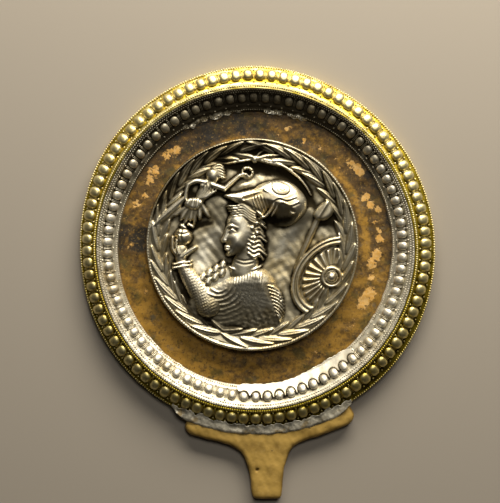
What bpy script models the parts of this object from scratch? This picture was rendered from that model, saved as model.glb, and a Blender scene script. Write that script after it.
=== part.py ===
"""Silver hand mirror with a relief medallion, lying on its polished face.

The decorated back looks up along +Z, the handle stub points along -Y, and the origin is the centre
of the polished face, on the surface that the mirror lies on. Lengths are in metres.
"""

import math

import bmesh
import bpy
import numpy as np

mm = 0.001
touch_gap = 0.3 * mm  # kept between pieces that touch, because meshes may not share a face

# Mirror plate
plate_thickness = 1.8 * mm
plate_bearing = 3.8 * mm  # how far the plate reaches in under the gilt rim

# Medallion, a little off the mirror's centre
medallion_radius = 41.4 * mm
medallion_offset_x = -2.0 * mm
medallion_offset_y = 1.0 * mm
medallion_ground = 1.2 * mm  # sheet and backing under the sunk ground
relief_height = 8.2 * mm  # ground to the highest point of the bust

# Rims, from the bare field outwards
field_width = 12.6 * mm
silver_rim_width = 7.9 * mm
silver_edge_height = 0.7 * mm
silver_ridge_height = 4.9 * mm
silver_bead_count = 79
silver_bead_width = 4.0 * mm
silver_bead_rise = 1.5 * mm
gilt_rim_width = 7.8 * mm
gilt_edge_height = 3.4 * mm
gilt_ridge_height = 7.4 * mm
gilt_bead_count = 90
gilt_bead_width = 3.9 * mm
gilt_bead_rise = 1.6 * mm

# Torn silver strap over the rim's lower edge
strap_overlap = 1.2 * mm  # how far it lies over the gilt rim
strap_width = 4.4 * mm
strap_thickness = 0.6 * mm
strap_half_angle = 29.0  # degrees, to each side of the mirror's foot
strap_tear = 1.0 * mm  # depth of the torn teeth on the strap's inner edge

# Handle bracket with the stub of its handle, a little to the right of the mirror's centre
stub_axis_x = 3.6 * mm
stub_end_width = 11.0 * mm
stub_neck_width = 13.2 * mm
stub_length = 28.5 * mm  # from the rim's outer edge to the broken end
arm_depth = 7.4 * mm  # of both arms, measured out from the rim
left_arm_angle = 25.0  # degrees, from the stub's axis to the end of each arm
right_arm_angle = 27.0
arm_fillet = 12.0 * mm  # where an arm runs into the stub
bracket_round = 1.2 * mm  # rounding of the bracket's edges

# Worked-out sizes
field_radius = medallion_radius + field_width
silver_outer_radius = field_radius + silver_rim_width
gilt_inner_radius = silver_outer_radius + touch_gap
gilt_outer_radius = gilt_inner_radius + gilt_rim_width
plate_radius = gilt_inner_radius + plate_bearing
seat_height = plate_thickness + touch_gap
ground_height = seat_height + medallion_ground
rim_slope = (gilt_ridge_height - gilt_edge_height) / gilt_rim_width
strap_bottom = gilt_edge_height + strap_overlap * rim_slope + touch_gap
bracket_thickness = strap_bottom - touch_gap

hundredth = medallion_radius / 100  # the relief is laid out in hundredths of the medallion's radius

patina = (0.36, 0.22, 0.07)
silver = (0.66, 0.63, 0.55)
gilding = (0.74, 0.57, 0.20)
ochre = (0.62, 0.42, 0.15)


def clear_scene():
    for old in list(bpy.data.objects):
        bpy.data.objects.remove(old)


def part_collection(name):
    collection = bpy.data.collections.new(name)
    bpy.context.scene.collection.children.link(collection)
    return collection


def make_material(name, colour, roughness, metallic):
    material = bpy.data.materials.new(name)
    material.use_nodes = True
    shader = material.node_tree.nodes["Principled BSDF"]
    shader.inputs["Base Color"].default_value = (*colour, 1.0)
    shader.inputs["Roughness"].default_value = roughness
    shader.inputs["Metallic"].default_value = metallic
    return material


def new_object(name, mesh, collection, material):
    obj = bpy.data.objects.new(name, mesh)
    obj.data.materials.append(material)
    collection.objects.link(obj)
    return obj


def applied(obj):
    """The object with its modifiers made real, so that single vertices can be worked."""
    graph = bpy.context.evaluated_depsgraph_get()
    mesh = bpy.data.meshes.new_from_object(obj.evaluated_get(graph))
    obj.modifiers.clear()
    obj.data = mesh
    return obj


def shade(mesh, angle=40.0):
    mesh.shade_smooth()
    mesh.set_sharp_from_angle(angle=math.radians(angle))


def turned(name, profile, steps, closed, collection, material):
    """A profile of (radius, height) pairs turned about the Z axis with a Screw modifier."""
    mesh = bpy.data.meshes.new(name)
    points = [(radius, 0.0, height) for radius, height in profile]
    edges = [(i, i + 1) for i in range(len(points) - 1)]
    if closed:
        edges.append((len(points) - 1, 0))
    mesh.from_pydata(points, edges, [])
    obj = new_object(name, mesh, collection, material)
    screw = obj.modifiers.new("turn", "SCREW")
    screw.steps = steps
    screw.render_steps = steps
    screw.use_merge_vertices = True
    screw.merge_threshold = 0.00001
    applied(obj)
    work = bmesh.new()
    work.from_mesh(obj.data)
    bmesh.ops.recalc_face_normals(work, faces=work.faces)
    work.to_mesh(obj.data)
    work.free()
    return obj


def raise_beads(mesh, count, crest_radius, rise):
    """Lifts the crest line into one bead per pitch: every second station of the turning is a bead."""
    pitch = 2 * math.pi / count
    work = bmesh.new()
    work.from_mesh(mesh)
    for vertex in work.verts:
        x, y, z = vertex.co
        if abs(math.hypot(x, y) - crest_radius) > 0.01 * mm:
            continue
        turn = math.atan2(y, x) / pitch
        if abs(turn - round(turn)) < 0.1:
            vertex.co.z = z + rise
    bmesh.ops.triangulate(work, faces=work.faces, quad_method="LONG_EDGE")
    work.to_mesh(mesh)
    work.free()


def bead_band(inner, outer, inner_height, outer_height, width):
    """The foot, crest and foot of a row of beads in the middle of a sloping rim."""
    middle = (inner + outer) / 2
    band = []
    for radius in (middle - width / 2, middle, middle + width / 2):
        share = (radius - inner) / (outer - inner)
        band.append((radius, inner_height + share * (outer_height - inner_height)))
    return band


def make_plate(collection, material):
    profile = [
        (0.0, plate_thickness),
        (plate_radius, plate_thickness),
        (plate_radius, 0.0),
        (0.0, 0.0),
    ]
    plate = turned("mirror_plate", profile, gilt_bead_count, False, collection, material)
    shade(plate.data)


def make_silver_rim(collection, material):
    low = seat_height + silver_edge_height
    high = seat_height + silver_ridge_height
    band = bead_band(field_radius, silver_outer_radius, low, high, silver_bead_width)
    profile = [
        (field_radius, seat_height),
        (field_radius, low),
        *band,
        (silver_outer_radius, high),
        (silver_outer_radius, seat_height),
    ]
    rim = turned("silver_rim", profile, 2 * silver_bead_count, True, collection, material)
    raise_beads(rim.data, silver_bead_count, band[1][0], silver_bead_rise)
    shade(rim.data, 75.0)


def make_gilt_rim(collection, material):
    band = bead_band(
        gilt_inner_radius, gilt_outer_radius, gilt_ridge_height, gilt_edge_height, gilt_bead_width
    )
    rebate_radius = plate_radius + touch_gap
    profile = [
        (rebate_radius, 0.0),
        (rebate_radius, seat_height),
        (gilt_inner_radius, seat_height),
        (gilt_inner_radius, gilt_ridge_height),
        *band,
        (gilt_outer_radius, gilt_edge_height),
        (gilt_outer_radius, 0.0),
    ]
    rim = turned("gilt_rim", profile, 2 * gilt_bead_count, True, collection, material)
    raise_beads(rim.data, gilt_bead_count, band[1][0], gilt_bead_rise)
    shade(rim.data, 75.0)


# Relief forms. Each takes the field's u and v arrays and gives a height for every point, or a very
# low value where the form isn't. Lengths, places and heights are hundredths of the medallion's radius.

nowhere = -1000.0


def smooth_line(points, closed=False, steps=5):
    """Points on a smooth curve through the given ones."""
    given = np.array(points, float)
    count = len(given)
    found = []
    for i in range(count if closed else count - 1):
        around = [(i + k) % count if closed else min(max(i + k, 0), count - 1) for k in (-1, 0, 1, 2)]
        a, b, c, d = given[around]
        for k in range(steps):
            t = k / steps
            bend = (2 * a - 5 * b + 4 * c - d) * t**2 + (3 * b - a - 3 * c + d) * t**3
            found.append(0.5 * (2 * b + (c - a) * t + bend))
    if not closed:
        found.append(given[-1])
    return np.array(found)


def nearby(field, path, margin):
    """Which points of the field lie in the box round a path."""
    u, v = field
    low, high = path.min(axis=0) - margin, path.max(axis=0) + margin
    return (u > low[0]) & (u < high[0]) & (v > low[1]) & (v < high[1])


def to_segment(u, v, start, end):
    """Distance from every point to a segment, and the share of its length at the nearest place."""
    du, dv = end[0] - start[0], end[1] - start[1]
    share = np.clip(((u - start[0]) * du + (v - start[1]) * dv) / (du * du + dv * dv), 0, 1)
    return np.hypot(u - start[0] - share * du, v - start[1] - share * dv), share


def dome(field, centre, radii, rise, floor=0.0, tilt=0.0):
    u, v = field
    turn = math.radians(tilt)
    along = ((u - centre[0]) * math.cos(turn) + (v - centre[1]) * math.sin(turn)) / radii[0]
    across = (-(u - centre[0]) * math.sin(turn) + (v - centre[1]) * math.cos(turn)) / radii[1]
    inside = 1 - along**2 - across**2
    return np.where(inside > 0, floor + rise * np.sqrt(np.maximum(inside, 0)), nowhere)


def limb(field, points, widths, rise, floor=0.0):
    """A rounded strand along a smooth path, its half width running through the given widths. floor
    is one height, or the heights at the two ends."""
    path = smooth_line(points)
    places = np.linspace(0, 1, len(path))
    half = np.interp(places, np.linspace(0, 1, len(widths)), widths)
    base = np.interp(places, (0, 1), floor if isinstance(floor, tuple) else (floor, floor))
    height = np.full(field[0].shape, nowhere)
    near = nearby(field, path, max(widths))
    u, v = field[0][near], field[1][near]
    local = height[near]
    for i in range(len(path) - 1):
        distance, share = to_segment(u, v, path[i], path[i + 1])
        width = half[i] + share * (half[i + 1] - half[i])
        inside = 1 - (distance / np.maximum(width, 0.01)) ** 2
        lifted = base[i] + share * (base[i + 1] - base[i]) + rise * np.sqrt(np.maximum(inside, 0))
        local = np.maximum(local, np.where(inside > 0, lifted, nowhere))
    height[near] = local
    return height


def edge_distance(field, points):
    """Distance from a smooth closed outline, positive inside it."""
    outline = smooth_line(points, closed=True)
    found = np.full(field[0].shape, -1.0)
    near = nearby(field, outline, 1.0)
    u, v = field[0][near], field[1][near]
    nearest = np.full(u.shape, 1e9)
    inside = np.zeros(u.shape, bool)
    for start, end in zip(outline, np.roll(outline, -1, axis=0)):
        nearest = np.minimum(nearest, to_segment(u, v, start, end)[0])
        if start[1] != end[1]:
            crossing = start[0] + (v - start[1]) / (end[1] - start[1]) * (end[0] - start[0])
            inside ^= ((start[1] > v) != (end[1] > v)) & (u < crossing)
    found[near] = np.where(inside, nearest, -nearest)
    return found


def pad(field, points, edge, rise, floor=0.0):
    """A form with a smooth outline that swells over the width of its edge and is level inside."""
    deep = edge_distance(field, points)
    swell = np.clip(deep / edge, 0, 1)
    return np.where(deep > 0, floor + rise * np.sqrt(1 - (1 - swell) ** 2), nowhere)


def ring(field, centre, radius, half_width, rise, floor):
    away = np.abs(np.hypot(field[0] - centre[0], field[1] - centre[1]) - radius) / half_width
    return np.where(away < 1, floor + rise * np.sqrt(np.maximum(1 - away**2, 0)), nowhere)


# Wreath
wreath_middle = 87.5
wreath_half_width = 9.0
wreath_floor = 3.0
wreath_foot = math.radians(-110)
wreath_top = math.radians(86)
leaf_pairs = 14  # on each of the two branches


def wreath(field):
    """Two laurel branches that climb from the foot to the top, with leaves in herringbone pairs."""
    inner_edge = wreath_middle - wreath_half_width
    radius = np.hypot(*field)
    slope = np.clip((radius - inner_edge + 6) / 8, 0, 1)
    height = np.where(slope > 0, wreath_floor * slope, nowhere)
    for climb in (wreath_top - wreath_foot, wreath_top - wreath_foot - 2 * math.pi):
        for pair in range(leaf_pairs):
            start = wreath_foot + climb * pair / leaf_pairs
            end = wreath_foot + climb * (pair + 1.6) / leaf_pairs
            for lean in (-0.9, 0.9):
                places = ((start, 0.0), ((start + end) / 2, 0.45 * lean), (end, lean))
                path = []
                for turn, out in places:
                    reach = wreath_middle + out * wreath_half_width
                    path.append((reach * math.cos(turn), reach * math.sin(turn)))
                leaf = limb(field, path, [1.2, 4.2, 0.4], 2.4, (wreath_floor - 0.6, wreath_floor + 1.8))
                height = np.maximum(height, leaf)
    return height


def lip(field):
    return ring(field, (0, 0), 98, 2.2, 1.8, 4.5)


# Shield, whose outline is an ellipse because it is seen at an angle
shield_centre = (74.3, -30.6)
shield_radii = (46.0, 29.5)
shield_tilt = math.radians(45)
shield_ribs = 26
boss_share, rib_share, rim_share = 0.27, 0.64, 0.77  # shares of the way from the boss to the edge


def shield(field):
    u, v = field[0] - shield_centre[0], field[1] - shield_centre[1]
    along = (u * math.cos(shield_tilt) + v * math.sin(shield_tilt)) / shield_radii[0]
    across = (v * math.cos(shield_tilt) - u * math.sin(shield_tilt)) / shield_radii[1]
    share = np.hypot(along, across)
    wave = 0.5 + 0.5 * np.cos(shield_ribs * np.arctan2(across, along))
    ribs = 1.5 * np.where((share > boss_share) & (share < rib_share), wave, 0)
    dish = 2.0 + 2.5 * (1 - share) + ribs
    rim = 3.8 + 1.6 * np.abs(np.sin((share - rim_share) / (1 - rim_share) * 2 * math.pi))
    height = np.where(share < rim_share, dish, rim)
    height = np.where(share < 1, height, nowhere)
    boss = ring(field, shield_centre, 8.6, 1.8, 1.8, 4.5)
    return np.maximum.reduce([height, boss, dome(field, shield_centre, (4.6, 4.6), 4.0, 4.0)])


def spear(field):
    shaft = limb(field, [(24, -31), (41, -6), (60, 25)], [1.6, 2.6, 2.8], 2.2, (0.5, 2.0))
    blade = limb(field, [(60, 26), (63, 33), (70, 40)], [3.4, 5.0, 2.0], 3.2, 2.0)
    return np.maximum(shaft, blade)


def winged_figure(field):
    """The small winged figure that stands on the globe and holds out a garland."""
    forms = [
        limb(field, [(-62, 50), (-80, 36), (-91, 17)], [3.5, 6.0, 2.0], 2.8, 3.0),
        limb(field, [(-41, 57), (-48, 50), (-53, 42)], [6.5, 6.6, 7.0], 4.0, 3.5),
        pad(field, [(-62, 44), (-47, 44), (-43, 36), (-57, 36)], 3.5, 2.6, 5.0),
        limb(field, [(-42, 58), (-53, 60), (-62, 55), (-62, 46)], [2.6, 2.6, 2.0, 1.8], 3.0, 4.5),
        limb(field, [(-37, 56), (-26, 50), (-12, 62)], [2.8, 2.6, 2.0], 3.2, (5.5, 4.0)),
        dome(field, (-8, 64), (3.8, 2.8), 3.2, 4.0, 30),
        dome(field, (-35, 67), (7.4, 7.8), 6.4, 4.0),
        ring(field, (-5, 69.5), 5.2, 1.7, 1.8, 3.5),
    ]
    pleats = 7
    for pleat in range(pleats):
        share = pleat / (pleats - 1)
        waist = (-60 + 13 * share, 38 + 1.5 * share)
        hem = (-79 + 35 * share, 19 + 5.5 * share - 4.0 * math.sin(math.pi * share))
        forms.append(limb(field, [waist, hem], [2.0, 3.0], 2.6, (4.0, 3.0)))
    return np.maximum.reduce(forms)


def raised_arm(field):
    """Forearm in its sleeve of mail, the hand and the globe."""
    forms = [
        limb(field, [(-44, -54), (-55, -38), (-65, -21)], [12.0, 8.6, 6.0], 6.0, (3.5, 2.0)),
        limb(field, [(-74, -21), (-58, -19)], [2.4, 2.4], 2.6, 6.0),
        limb(field, [(-67, -18), (-67, -10), (-65, -3)], [5.4, 5.6, 7.0], 4.0, 3.0),
        limb(field, [(-72, -10), (-77, 0), (-74, 10)], [2.8, 2.6, 2.0], 3.0, 4.0),
        limb(field, [(-64, -6), (-58, -3), (-56, 5)], [3.2, 2.8, 2.0], 3.0, 5.0),
        dome(field, (-65.6, 7), (8.8, 8.8), 6.5, 2.5),
    ]
    return np.maximum.reduce(forms)


bust_outline = (
    (-52, -38), (-40, -29), (-26, -22), (-8, -17), (8, -20), (20, -34), (30, -50), (36, -66), (28, -78),
    (0, -84), (-30, -83), (-52, -72), (-62, -56), (-60, -45),
)


def bust(field):
    """Chest and shoulder under a cloak with hanging folds, its clasps and its fringed edge."""
    u, v = field
    body = pad(field, bust_outline, 26.0, 10.5, 2.0)
    folds = 0.9 * np.sin(np.hypot((u + 29) * 0.8, v + 40) / 4.4 * math.pi)
    body += folds * np.clip((-46 - v) / 8, 0, 1) * np.clip((4 - u) / 10, 0, 1)
    pleats = 0.7 * np.sin((u - 0.3 * v) / 2.6 * math.pi)
    body += pleats * np.clip((u + 16) / 6, 0, 1) * np.clip((14 - u) / 6, 0, 1) * (v < -30)
    forms = [body, limb(field, [(-50, -45), (-28, -38), (0, -34)], [7.0, 8.5, 9.0], 5.0, (6.0, 8.5))]
    strands = 10
    for row in range(strands):
        top = (14 + 1.2 * row, -38 - 3.4 * row)
        forms.append(limb(field, [top, (top[0] + 8, top[1] - 2.5), (top[0] + 13, top[1] - 9)], [1, 2, 1], 2.0, (8.0, 3.0)))
    clasps = 5
    for step in range(clasps):
        place = (-49 + 5.6 * step, -33 + 3.0 * step)
        forms.append(dome(field, place, (3.3, 2.8), 2.4, 5.5 + 0.5 * step))
        forms.append(dome(field, (place[0] + 3.4, place[1] - 4.4), (3.0, 2.4), 2.2, 7.5 + 0.4 * step))
    return np.maximum.reduce(forms)


# The head's profile is a plain ideal one, in shares of the head's height, forward and up from the ear
head_height = 60.0
ear = (-1.0, 7.0)
profile_shares = (
    (0.10, 0.42), (0.30, 0.38), (0.375, 0.27), (0.392, 0.14), (0.435, 0.03), (0.474, -0.055),
    (0.452, -0.088), (0.408, -0.098), (0.424, -0.145), (0.404, -0.170), (0.416, -0.192),
    (0.386, -0.220), (0.396, -0.272), (0.350, -0.306), (0.20, -0.262), (0.04, -0.20), (-0.10, 0.10),
)


def on_head(forward, up):
    return (ear[0] - forward * head_height, ear[1] + up * head_height)


def head(field):
    """Neck, face in profile to the left, and the locks that fall from under the helmet."""
    forms = [
        limb(field, [(-4, 4), (-5, -10), (-8, -26)], [12.0, 11.0, 15.0], 7.0, (4.0, 3.0)),
        pad(field, [on_head(*share) for share in profile_shares], 15.0, 8.0, 4.5),
        dome(field, on_head(0.24, -0.05), (9.5, 10.5), 7.5, 6.0),
        dome(field, on_head(0.33, -0.245), (5.0, 4.2), 3.8, 6.5),
        limb(field, [on_head(0.385, 0.13), on_head(0.40, 0.03), on_head(0.43, -0.055)], [2.2, 2.4, 2.8], 3.0, 7.0),
        limb(field, [on_head(0.37, 0.15), on_head(0.30, 0.175), on_head(0.20, 0.145)], [1.2, 1.8, 1.0], 2.2, 10.0),
        dome(field, on_head(0.385, -0.150), (2.4, 1.4), 1.8, 8.5, 10),
        dome(field, on_head(0.38, -0.190), (2.2, 1.4), 1.8, 8.5, -10),
    ]
    height = np.maximum.reduce(forms)
    socket = dome(field, on_head(0.31, 0.085), (5.2, 3.4), 2.2)
    height = np.where(socket > nowhere, height - socket, height)
    height = np.maximum(height, dome(field, on_head(0.305, 0.083), (3.0, 1.9), 1.5, 10.2))
    locks = 7
    for row in range(locks):
        top = 21 - 5.0 * row
        lock = [(-3, top + 3), (3.5, top), (9, top + 1.5), (13 - 0.4 * row, top - 2.5)]
        height = np.maximum(height, limb(field, lock, [1.6, 2.8, 2.4, 1.0], 2.6, (9.5, 6.0)))
    waves = 3
    for row in range(waves):
        lock = [(-24 + 2 * row, 34 - 3.2 * row), (-12, 33.5 - 3.2 * row), (2, 28 - 3.0 * row)]
        height = np.maximum(height, limb(field, lock, [1.0, 2.2, 1.6], 2.2, (8.5, 11.0)))
    return height


spiral_centre = (28.0, 51.0)
spiral_width = 1.6  # of the spiral's oval, over its height
skull_outline = (
    (-4, 44), (2, 50), (12, 57), (26, 60), (38, 58), (47, 50), (50, 40), (44, 30), (34, 22), (22, 17),
    (12, 20), (6, 30),
)
peak_outline = (
    (-27, 46), (-12, 49), (2, 52), (12, 54), (17, 46), (17, 36), (9, 26), (0, 29), (-10, 36), (-19, 41),
)


def helmet(field):
    """Helmet pushed back on the head: its peak and slit, the spiral on its skull, its neck guard."""
    u, v = field
    skull = pad(field, skull_outline, 16.0, 12.0, 3.5)
    away = np.hypot((u - spiral_centre[0]) / spiral_width, v - spiral_centre[1])
    turn = np.arctan2(v - spiral_centre[1], (u - spiral_centre[0]) / spiral_width)
    skull += 0.8 * np.cos(1.9 * away + turn) * np.clip(1.6 - away / 5, 0, 1)
    peak = pad(field, peak_outline, 8.0, 5.5, 8.0)
    slit = limb(field, [(-8, 43), (2, 46), (11, 50), (16, 44)], [0.6, 1.4, 1.2, 0.8], 2.4)
    peak = np.where((slit > nowhere) & (peak > nowhere), peak - slit, peak)
    forms = [skull, peak]
    forms.append(limb(field, [(11, 50), (18, 45), (20, 36), (12, 27)], [1.2, 1.6, 1.6, 1.2], 2.0, 12.5))
    forms.append(limb(field, [(20, 43), (30, 39), (41, 44)], [1.0, 1.8, 1.0], 1.8, 12.5))
    forms.append(limb(field, [(15, 18), (28, 15), (40, 21), (53, 31)], [1.8, 2.8, 2.8, 1.6], 3.2, (7.0, 3.0)))
    return np.maximum.reduce(forms)


def relief(field):
    """The whole relief's height over the sunk ground, in hundredths of the radius."""
    inner_edge = wreath_middle - wreath_half_width
    behind = np.where(np.hypot(*field) < inner_edge + 3, shield(field), nowhere)
    layers = [np.zeros(field[0].shape), spear(field), behind, bust(field), raised_arm(field)]
    layers += [head(field), helmet(field), winged_figure(field), wreath(field), lip(field)]
    return np.maximum.reduce(layers)


relief_peak = 17.0  # the tallest form, in hundredths, which stands relief_height over the ground
grid_cells = 132
facets_kept = 0.095


def make_medallion(collection, material):
    """A square grid rounded into a disc, raised into the relief, closed below, then thinned so that
    the facets gather where the carving is."""
    work = bmesh.new()
    bmesh.ops.create_grid(work, x_segments=grid_cells, y_segments=grid_cells, size=1.0)
    square = np.array([vertex.co[:2] for vertex in work.verts])
    x, y = square[:, 0], square[:, 1]
    u = 100 * x * np.sqrt(1 - y**2 / 2)
    v = 100 * y * np.sqrt(1 - x**2 / 2)
    height = relief((u, v)) * relief_height / relief_peak
    for vertex, across, up, rise in zip(work.verts, u, v, height):
        vertex.co = (across * hundredth, up * hundredth, ground_height + rise)
    border = [edge for edge in work.edges if edge.is_boundary]
    wall = bmesh.ops.extrude_edge_only(work, edges=border)["geom"]
    foot = [item for item in wall if isinstance(item, bmesh.types.BMVert)]
    for vertex in foot:
        vertex.co.z = seat_height
    bmesh.ops.holes_fill(work, edges=[edge for edge in work.edges if edge.is_boundary])
    bmesh.ops.recalc_face_normals(work, faces=work.faces)
    bmesh.ops.triangulate(work, faces=work.faces)
    mesh = bpy.data.meshes.new("medallion")
    work.to_mesh(mesh)
    work.free()
    medallion = new_object("medallion", mesh, collection, material)
    medallion.location = (medallion_offset_x, medallion_offset_y, 0.0)
    thin = medallion.modifiers.new("thin", "DECIMATE")
    thin.ratio = facets_kept
    shade(mesh, 50.0)


def torn(angle):
    """Depth of the tear at an angle, as a share from 0 to 1."""
    return 0.5 + 0.28 * math.sin(61 * angle) + 0.22 * math.sin(137 * angle + 1.0)


def make_strap(collection, material):
    """A thin sheet strip along the rim's foot: an open band of faces given its thickness."""
    stations = 44
    half = math.radians(strap_half_angle)
    inner = gilt_outer_radius - strap_overlap
    work = bmesh.new()
    rows = []
    for i in range(stations + 1):
        angle = -math.pi / 2 - half + 2 * half * i / stations
        rounded_end = math.sqrt(min(1.0, 8.0 * (min(i, stations - i) + 0.5) / stations))
        near = inner + strap_tear * torn(angle)
        far = inner + strap_tear + (strap_width - strap_tear) * rounded_end
        ends = [(r * math.cos(angle), r * math.sin(angle), strap_bottom) for r in (near, far)]
        rows.append([work.verts.new(end) for end in ends])
    for (a, b), (c, d) in zip(rows, rows[1:]):
        work.faces.new((a, b, d, c))
    mesh = bpy.data.meshes.new("silver_strap")
    work.to_mesh(mesh)
    work.free()
    strap = new_object("silver_strap", mesh, collection, material)
    sheet = strap.modifiers.new("sheet", "SOLIDIFY")
    sheet.thickness = strap_thickness
    sheet.offset = 1.0
    shade(mesh)


def arc_points(radius, start, end, steps):
    """Points on a circle round the mirror's centre, with angles in radians from the +X axis."""
    found = []
    for i in range(steps + 1):
        angle = start + (end - start) * i / steps
        found.append((radius * math.cos(angle), radius * math.sin(angle)))
    return found


def bracket_side(side, arm_angle):
    """One side of the bracket from the arm's tip to the stub's broken end. side is 1 to the right."""
    seat = gilt_outer_radius + touch_gap
    belly = seat + arm_depth
    stub_turn = -math.pi / 2 + math.asin(stub_axis_x / seat)
    tip_turn = stub_turn + side * math.radians(arm_angle)
    root = stub_neck_width / 2 + arm_fillet
    root_turn = stub_turn + side * math.asin(root / belly)
    rounded_tip = side * 0.03
    corner = seat + 0.7 * arm_depth
    edge = [(corner * math.cos(tip_turn), corner * math.sin(tip_turn))]
    edge += arc_points(belly, tip_turn - rounded_tip, root_turn, 3)
    fillet_top = edge[-1][1]
    edge.append((stub_axis_x + side * (root - 0.7 * arm_fillet), fillet_top - 0.3 * arm_fillet))
    edge.append((stub_axis_x + side * stub_neck_width / 2, fillet_top - arm_fillet))
    smooth = [tuple(point) for point in smooth_line(edge, steps=3)]
    smooth.append((stub_axis_x + side * stub_end_width / 2, -gilt_outer_radius - stub_length))
    return arc_points(seat, stub_turn, tip_turn, 6)[1:] + smooth


def make_bracket(collection, material):
    curve = bpy.data.curves.new("handle_bracket", "CURVE")
    curve.dimensions = "2D"
    curve.fill_mode = "BOTH"
    curve.extrude = bracket_thickness / 2
    outline = bracket_side(1, right_arm_angle) + bracket_side(-1, left_arm_angle)[::-1]
    spline = curve.splines.new("POLY")
    spline.points.add(len(outline) - 1)
    for point, (x, y) in zip(spline.points, outline):
        point.co = (x, y, 0.0, 1.0)
    spline.use_cyclic_u = True
    shape = bpy.data.objects.new("bracket_curve", curve)
    collection.objects.link(shape)
    graph = bpy.context.evaluated_depsgraph_get()
    mesh = bpy.data.meshes.new_from_object(shape.evaluated_get(graph))
    bpy.data.objects.remove(shape)
    work = bmesh.new()
    work.from_mesh(mesh)
    bmesh.ops.remove_doubles(work, verts=work.verts, dist=0.01 * mm)
    bmesh.ops.recalc_face_normals(work, faces=work.faces)
    work.to_mesh(mesh)
    work.free()
    mesh.materials.clear()
    bracket = new_object("handle_bracket", mesh, collection, material)
    bracket.location.z = bracket_thickness / 2
    rounding = bracket.modifiers.new("rounding", "BEVEL")
    rounding.width = bracket_round
    rounding.segments = 2
    rounding.limit_method = "ANGLE"
    rounding.angle_limit = math.radians(60)
    shade(mesh)


def main():
    clear_scene()
    collection = part_collection("silver_mirror")
    make_plate(collection, make_material("plate_patina", patina, 0.45, 0.8))
    silver_sheet = make_material("worked_silver", silver, 0.3, 1.0)
    make_silver_rim(collection, silver_sheet)
    make_gilt_rim(collection, make_material("gilding", gilding, 0.3, 1.0))
    make_medallion(collection, silver_sheet)
    make_strap(collection, make_material("dull_silver", silver, 0.5, 0.9))
    make_bracket(collection, make_material("ochre_filler", ochre, 0.7, 0.0))


main()
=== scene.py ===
# Silver hand mirror: the finished surfaces over the solid frame.
# It lies on its polished face, the decorated back looks up and the handle stub points along -Y.
# Lengths are metres, or millimetres in a dictionary whose name ends in Mm.

import math

import bmesh
import bpy
import numpy as np
from mathutils import Matrix, Vector


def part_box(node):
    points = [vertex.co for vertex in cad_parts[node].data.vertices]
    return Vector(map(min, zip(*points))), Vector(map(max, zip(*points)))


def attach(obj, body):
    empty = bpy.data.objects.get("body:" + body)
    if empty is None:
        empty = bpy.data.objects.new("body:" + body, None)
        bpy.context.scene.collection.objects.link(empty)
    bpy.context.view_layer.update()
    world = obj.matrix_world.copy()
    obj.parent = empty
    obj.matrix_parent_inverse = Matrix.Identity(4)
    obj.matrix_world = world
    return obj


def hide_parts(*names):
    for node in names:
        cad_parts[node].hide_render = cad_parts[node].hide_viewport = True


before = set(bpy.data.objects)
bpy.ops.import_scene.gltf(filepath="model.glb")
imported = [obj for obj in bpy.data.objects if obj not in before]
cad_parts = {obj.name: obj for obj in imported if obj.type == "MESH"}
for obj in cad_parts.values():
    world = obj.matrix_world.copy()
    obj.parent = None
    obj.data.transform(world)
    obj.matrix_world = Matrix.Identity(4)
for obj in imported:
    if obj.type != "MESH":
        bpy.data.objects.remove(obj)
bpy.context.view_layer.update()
mm = 0.001

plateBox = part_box("mirror_plate")
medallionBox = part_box("medallion")
print("frame: solids loaded")


def newPiece(name, mesh, material):
    piece = bpy.data.objects.new(name, mesh)
    bpy.context.scene.collection.objects.link(piece)
    mesh.materials.clear()
    mesh.materials.append(material)
    return piece


def plainMesh(carrier, name):  # what the carrier's modifiers make, without the carrier
    graph = bpy.context.evaluated_depsgraph_get()
    made = bpy.data.meshes.new_from_object(carrier.evaluated_get(graph))
    bpy.data.objects.remove(carrier)
    made.name = name
    return made


def finishPiece(piece, slotName, *nodes):
    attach(piece, "root")
    if nodes:
        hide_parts(*nodes)


def meshFrom(name, points, faces):
    mesh = bpy.data.meshes.new(name)
    mesh.from_pydata([tuple(point) for point in points], [], [tuple(face) for face in faces])
    mesh.shade_smooth()
    return mesh


def gridFaces(rows, columns):  # over points that stand in rows of columns + 1
    count = columns + 1
    corners = (row * count + column for row in range(rows) for column in range(columns))
    return [(a, a + 1, a + 1 + count, a + count) for a in corners]


def paintValue(mesh, name, values):  # one number a vertex, which the materials read
    layer = mesh.attributes.new(name, "FLOAT", "POINT")
    layer.data.foreach_set("value", np.asarray(values, dtype=np.float32).ravel())


def readPoints(mesh, what):
    found = np.zeros(len(mesh.vertices) * 3, dtype=np.float32)
    mesh.vertices.foreach_get(what, found)
    return found.reshape(-1, 3).astype(float)


def writePoints(mesh, points):
    mesh.vertices.foreach_set("co", np.asarray(points, dtype=np.float32).ravel())
    mesh.update()


# Camera, lights and floor

viewStyleMm = {
    "imageWidth": 196.6,  # what the picture's width takes in at the mirror
    "aimX": -2.99, "aimY": -1.77, "aimHeight": 3.5,
    "lens": 100.0, "sensor": 36.0,
}


def addCamera():
    style = viewStyleMm
    distance = style["imageWidth"] * style["lens"] / style["sensor"]
    data = bpy.data.cameras.new("camera")
    data.lens, data.sensor_width = style["lens"], style["sensor"]
    camera = bpy.data.objects.new("camera", data)
    bpy.context.scene.collection.objects.link(camera)
    camera.location = (style["aimX"] * mm, style["aimY"] * mm, (style["aimHeight"] + distance) * mm)
    bpy.context.scene.camera = camera


lightStyle = {
    "softbox": {"at": (0.10, 0.52, 0.235), "size": (0.60, 0.22), "power": 7.0, "colour": (1.0, 0.94, 0.84)},
    "overhead": {"at": (0.10, 0.32, 0.85), "size": (0.26, 0.26), "power": 1.5, "colour": (1.0, 0.97, 0.92)},
    "world": (0.013, 0.0125, 0.0115),
}


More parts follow.
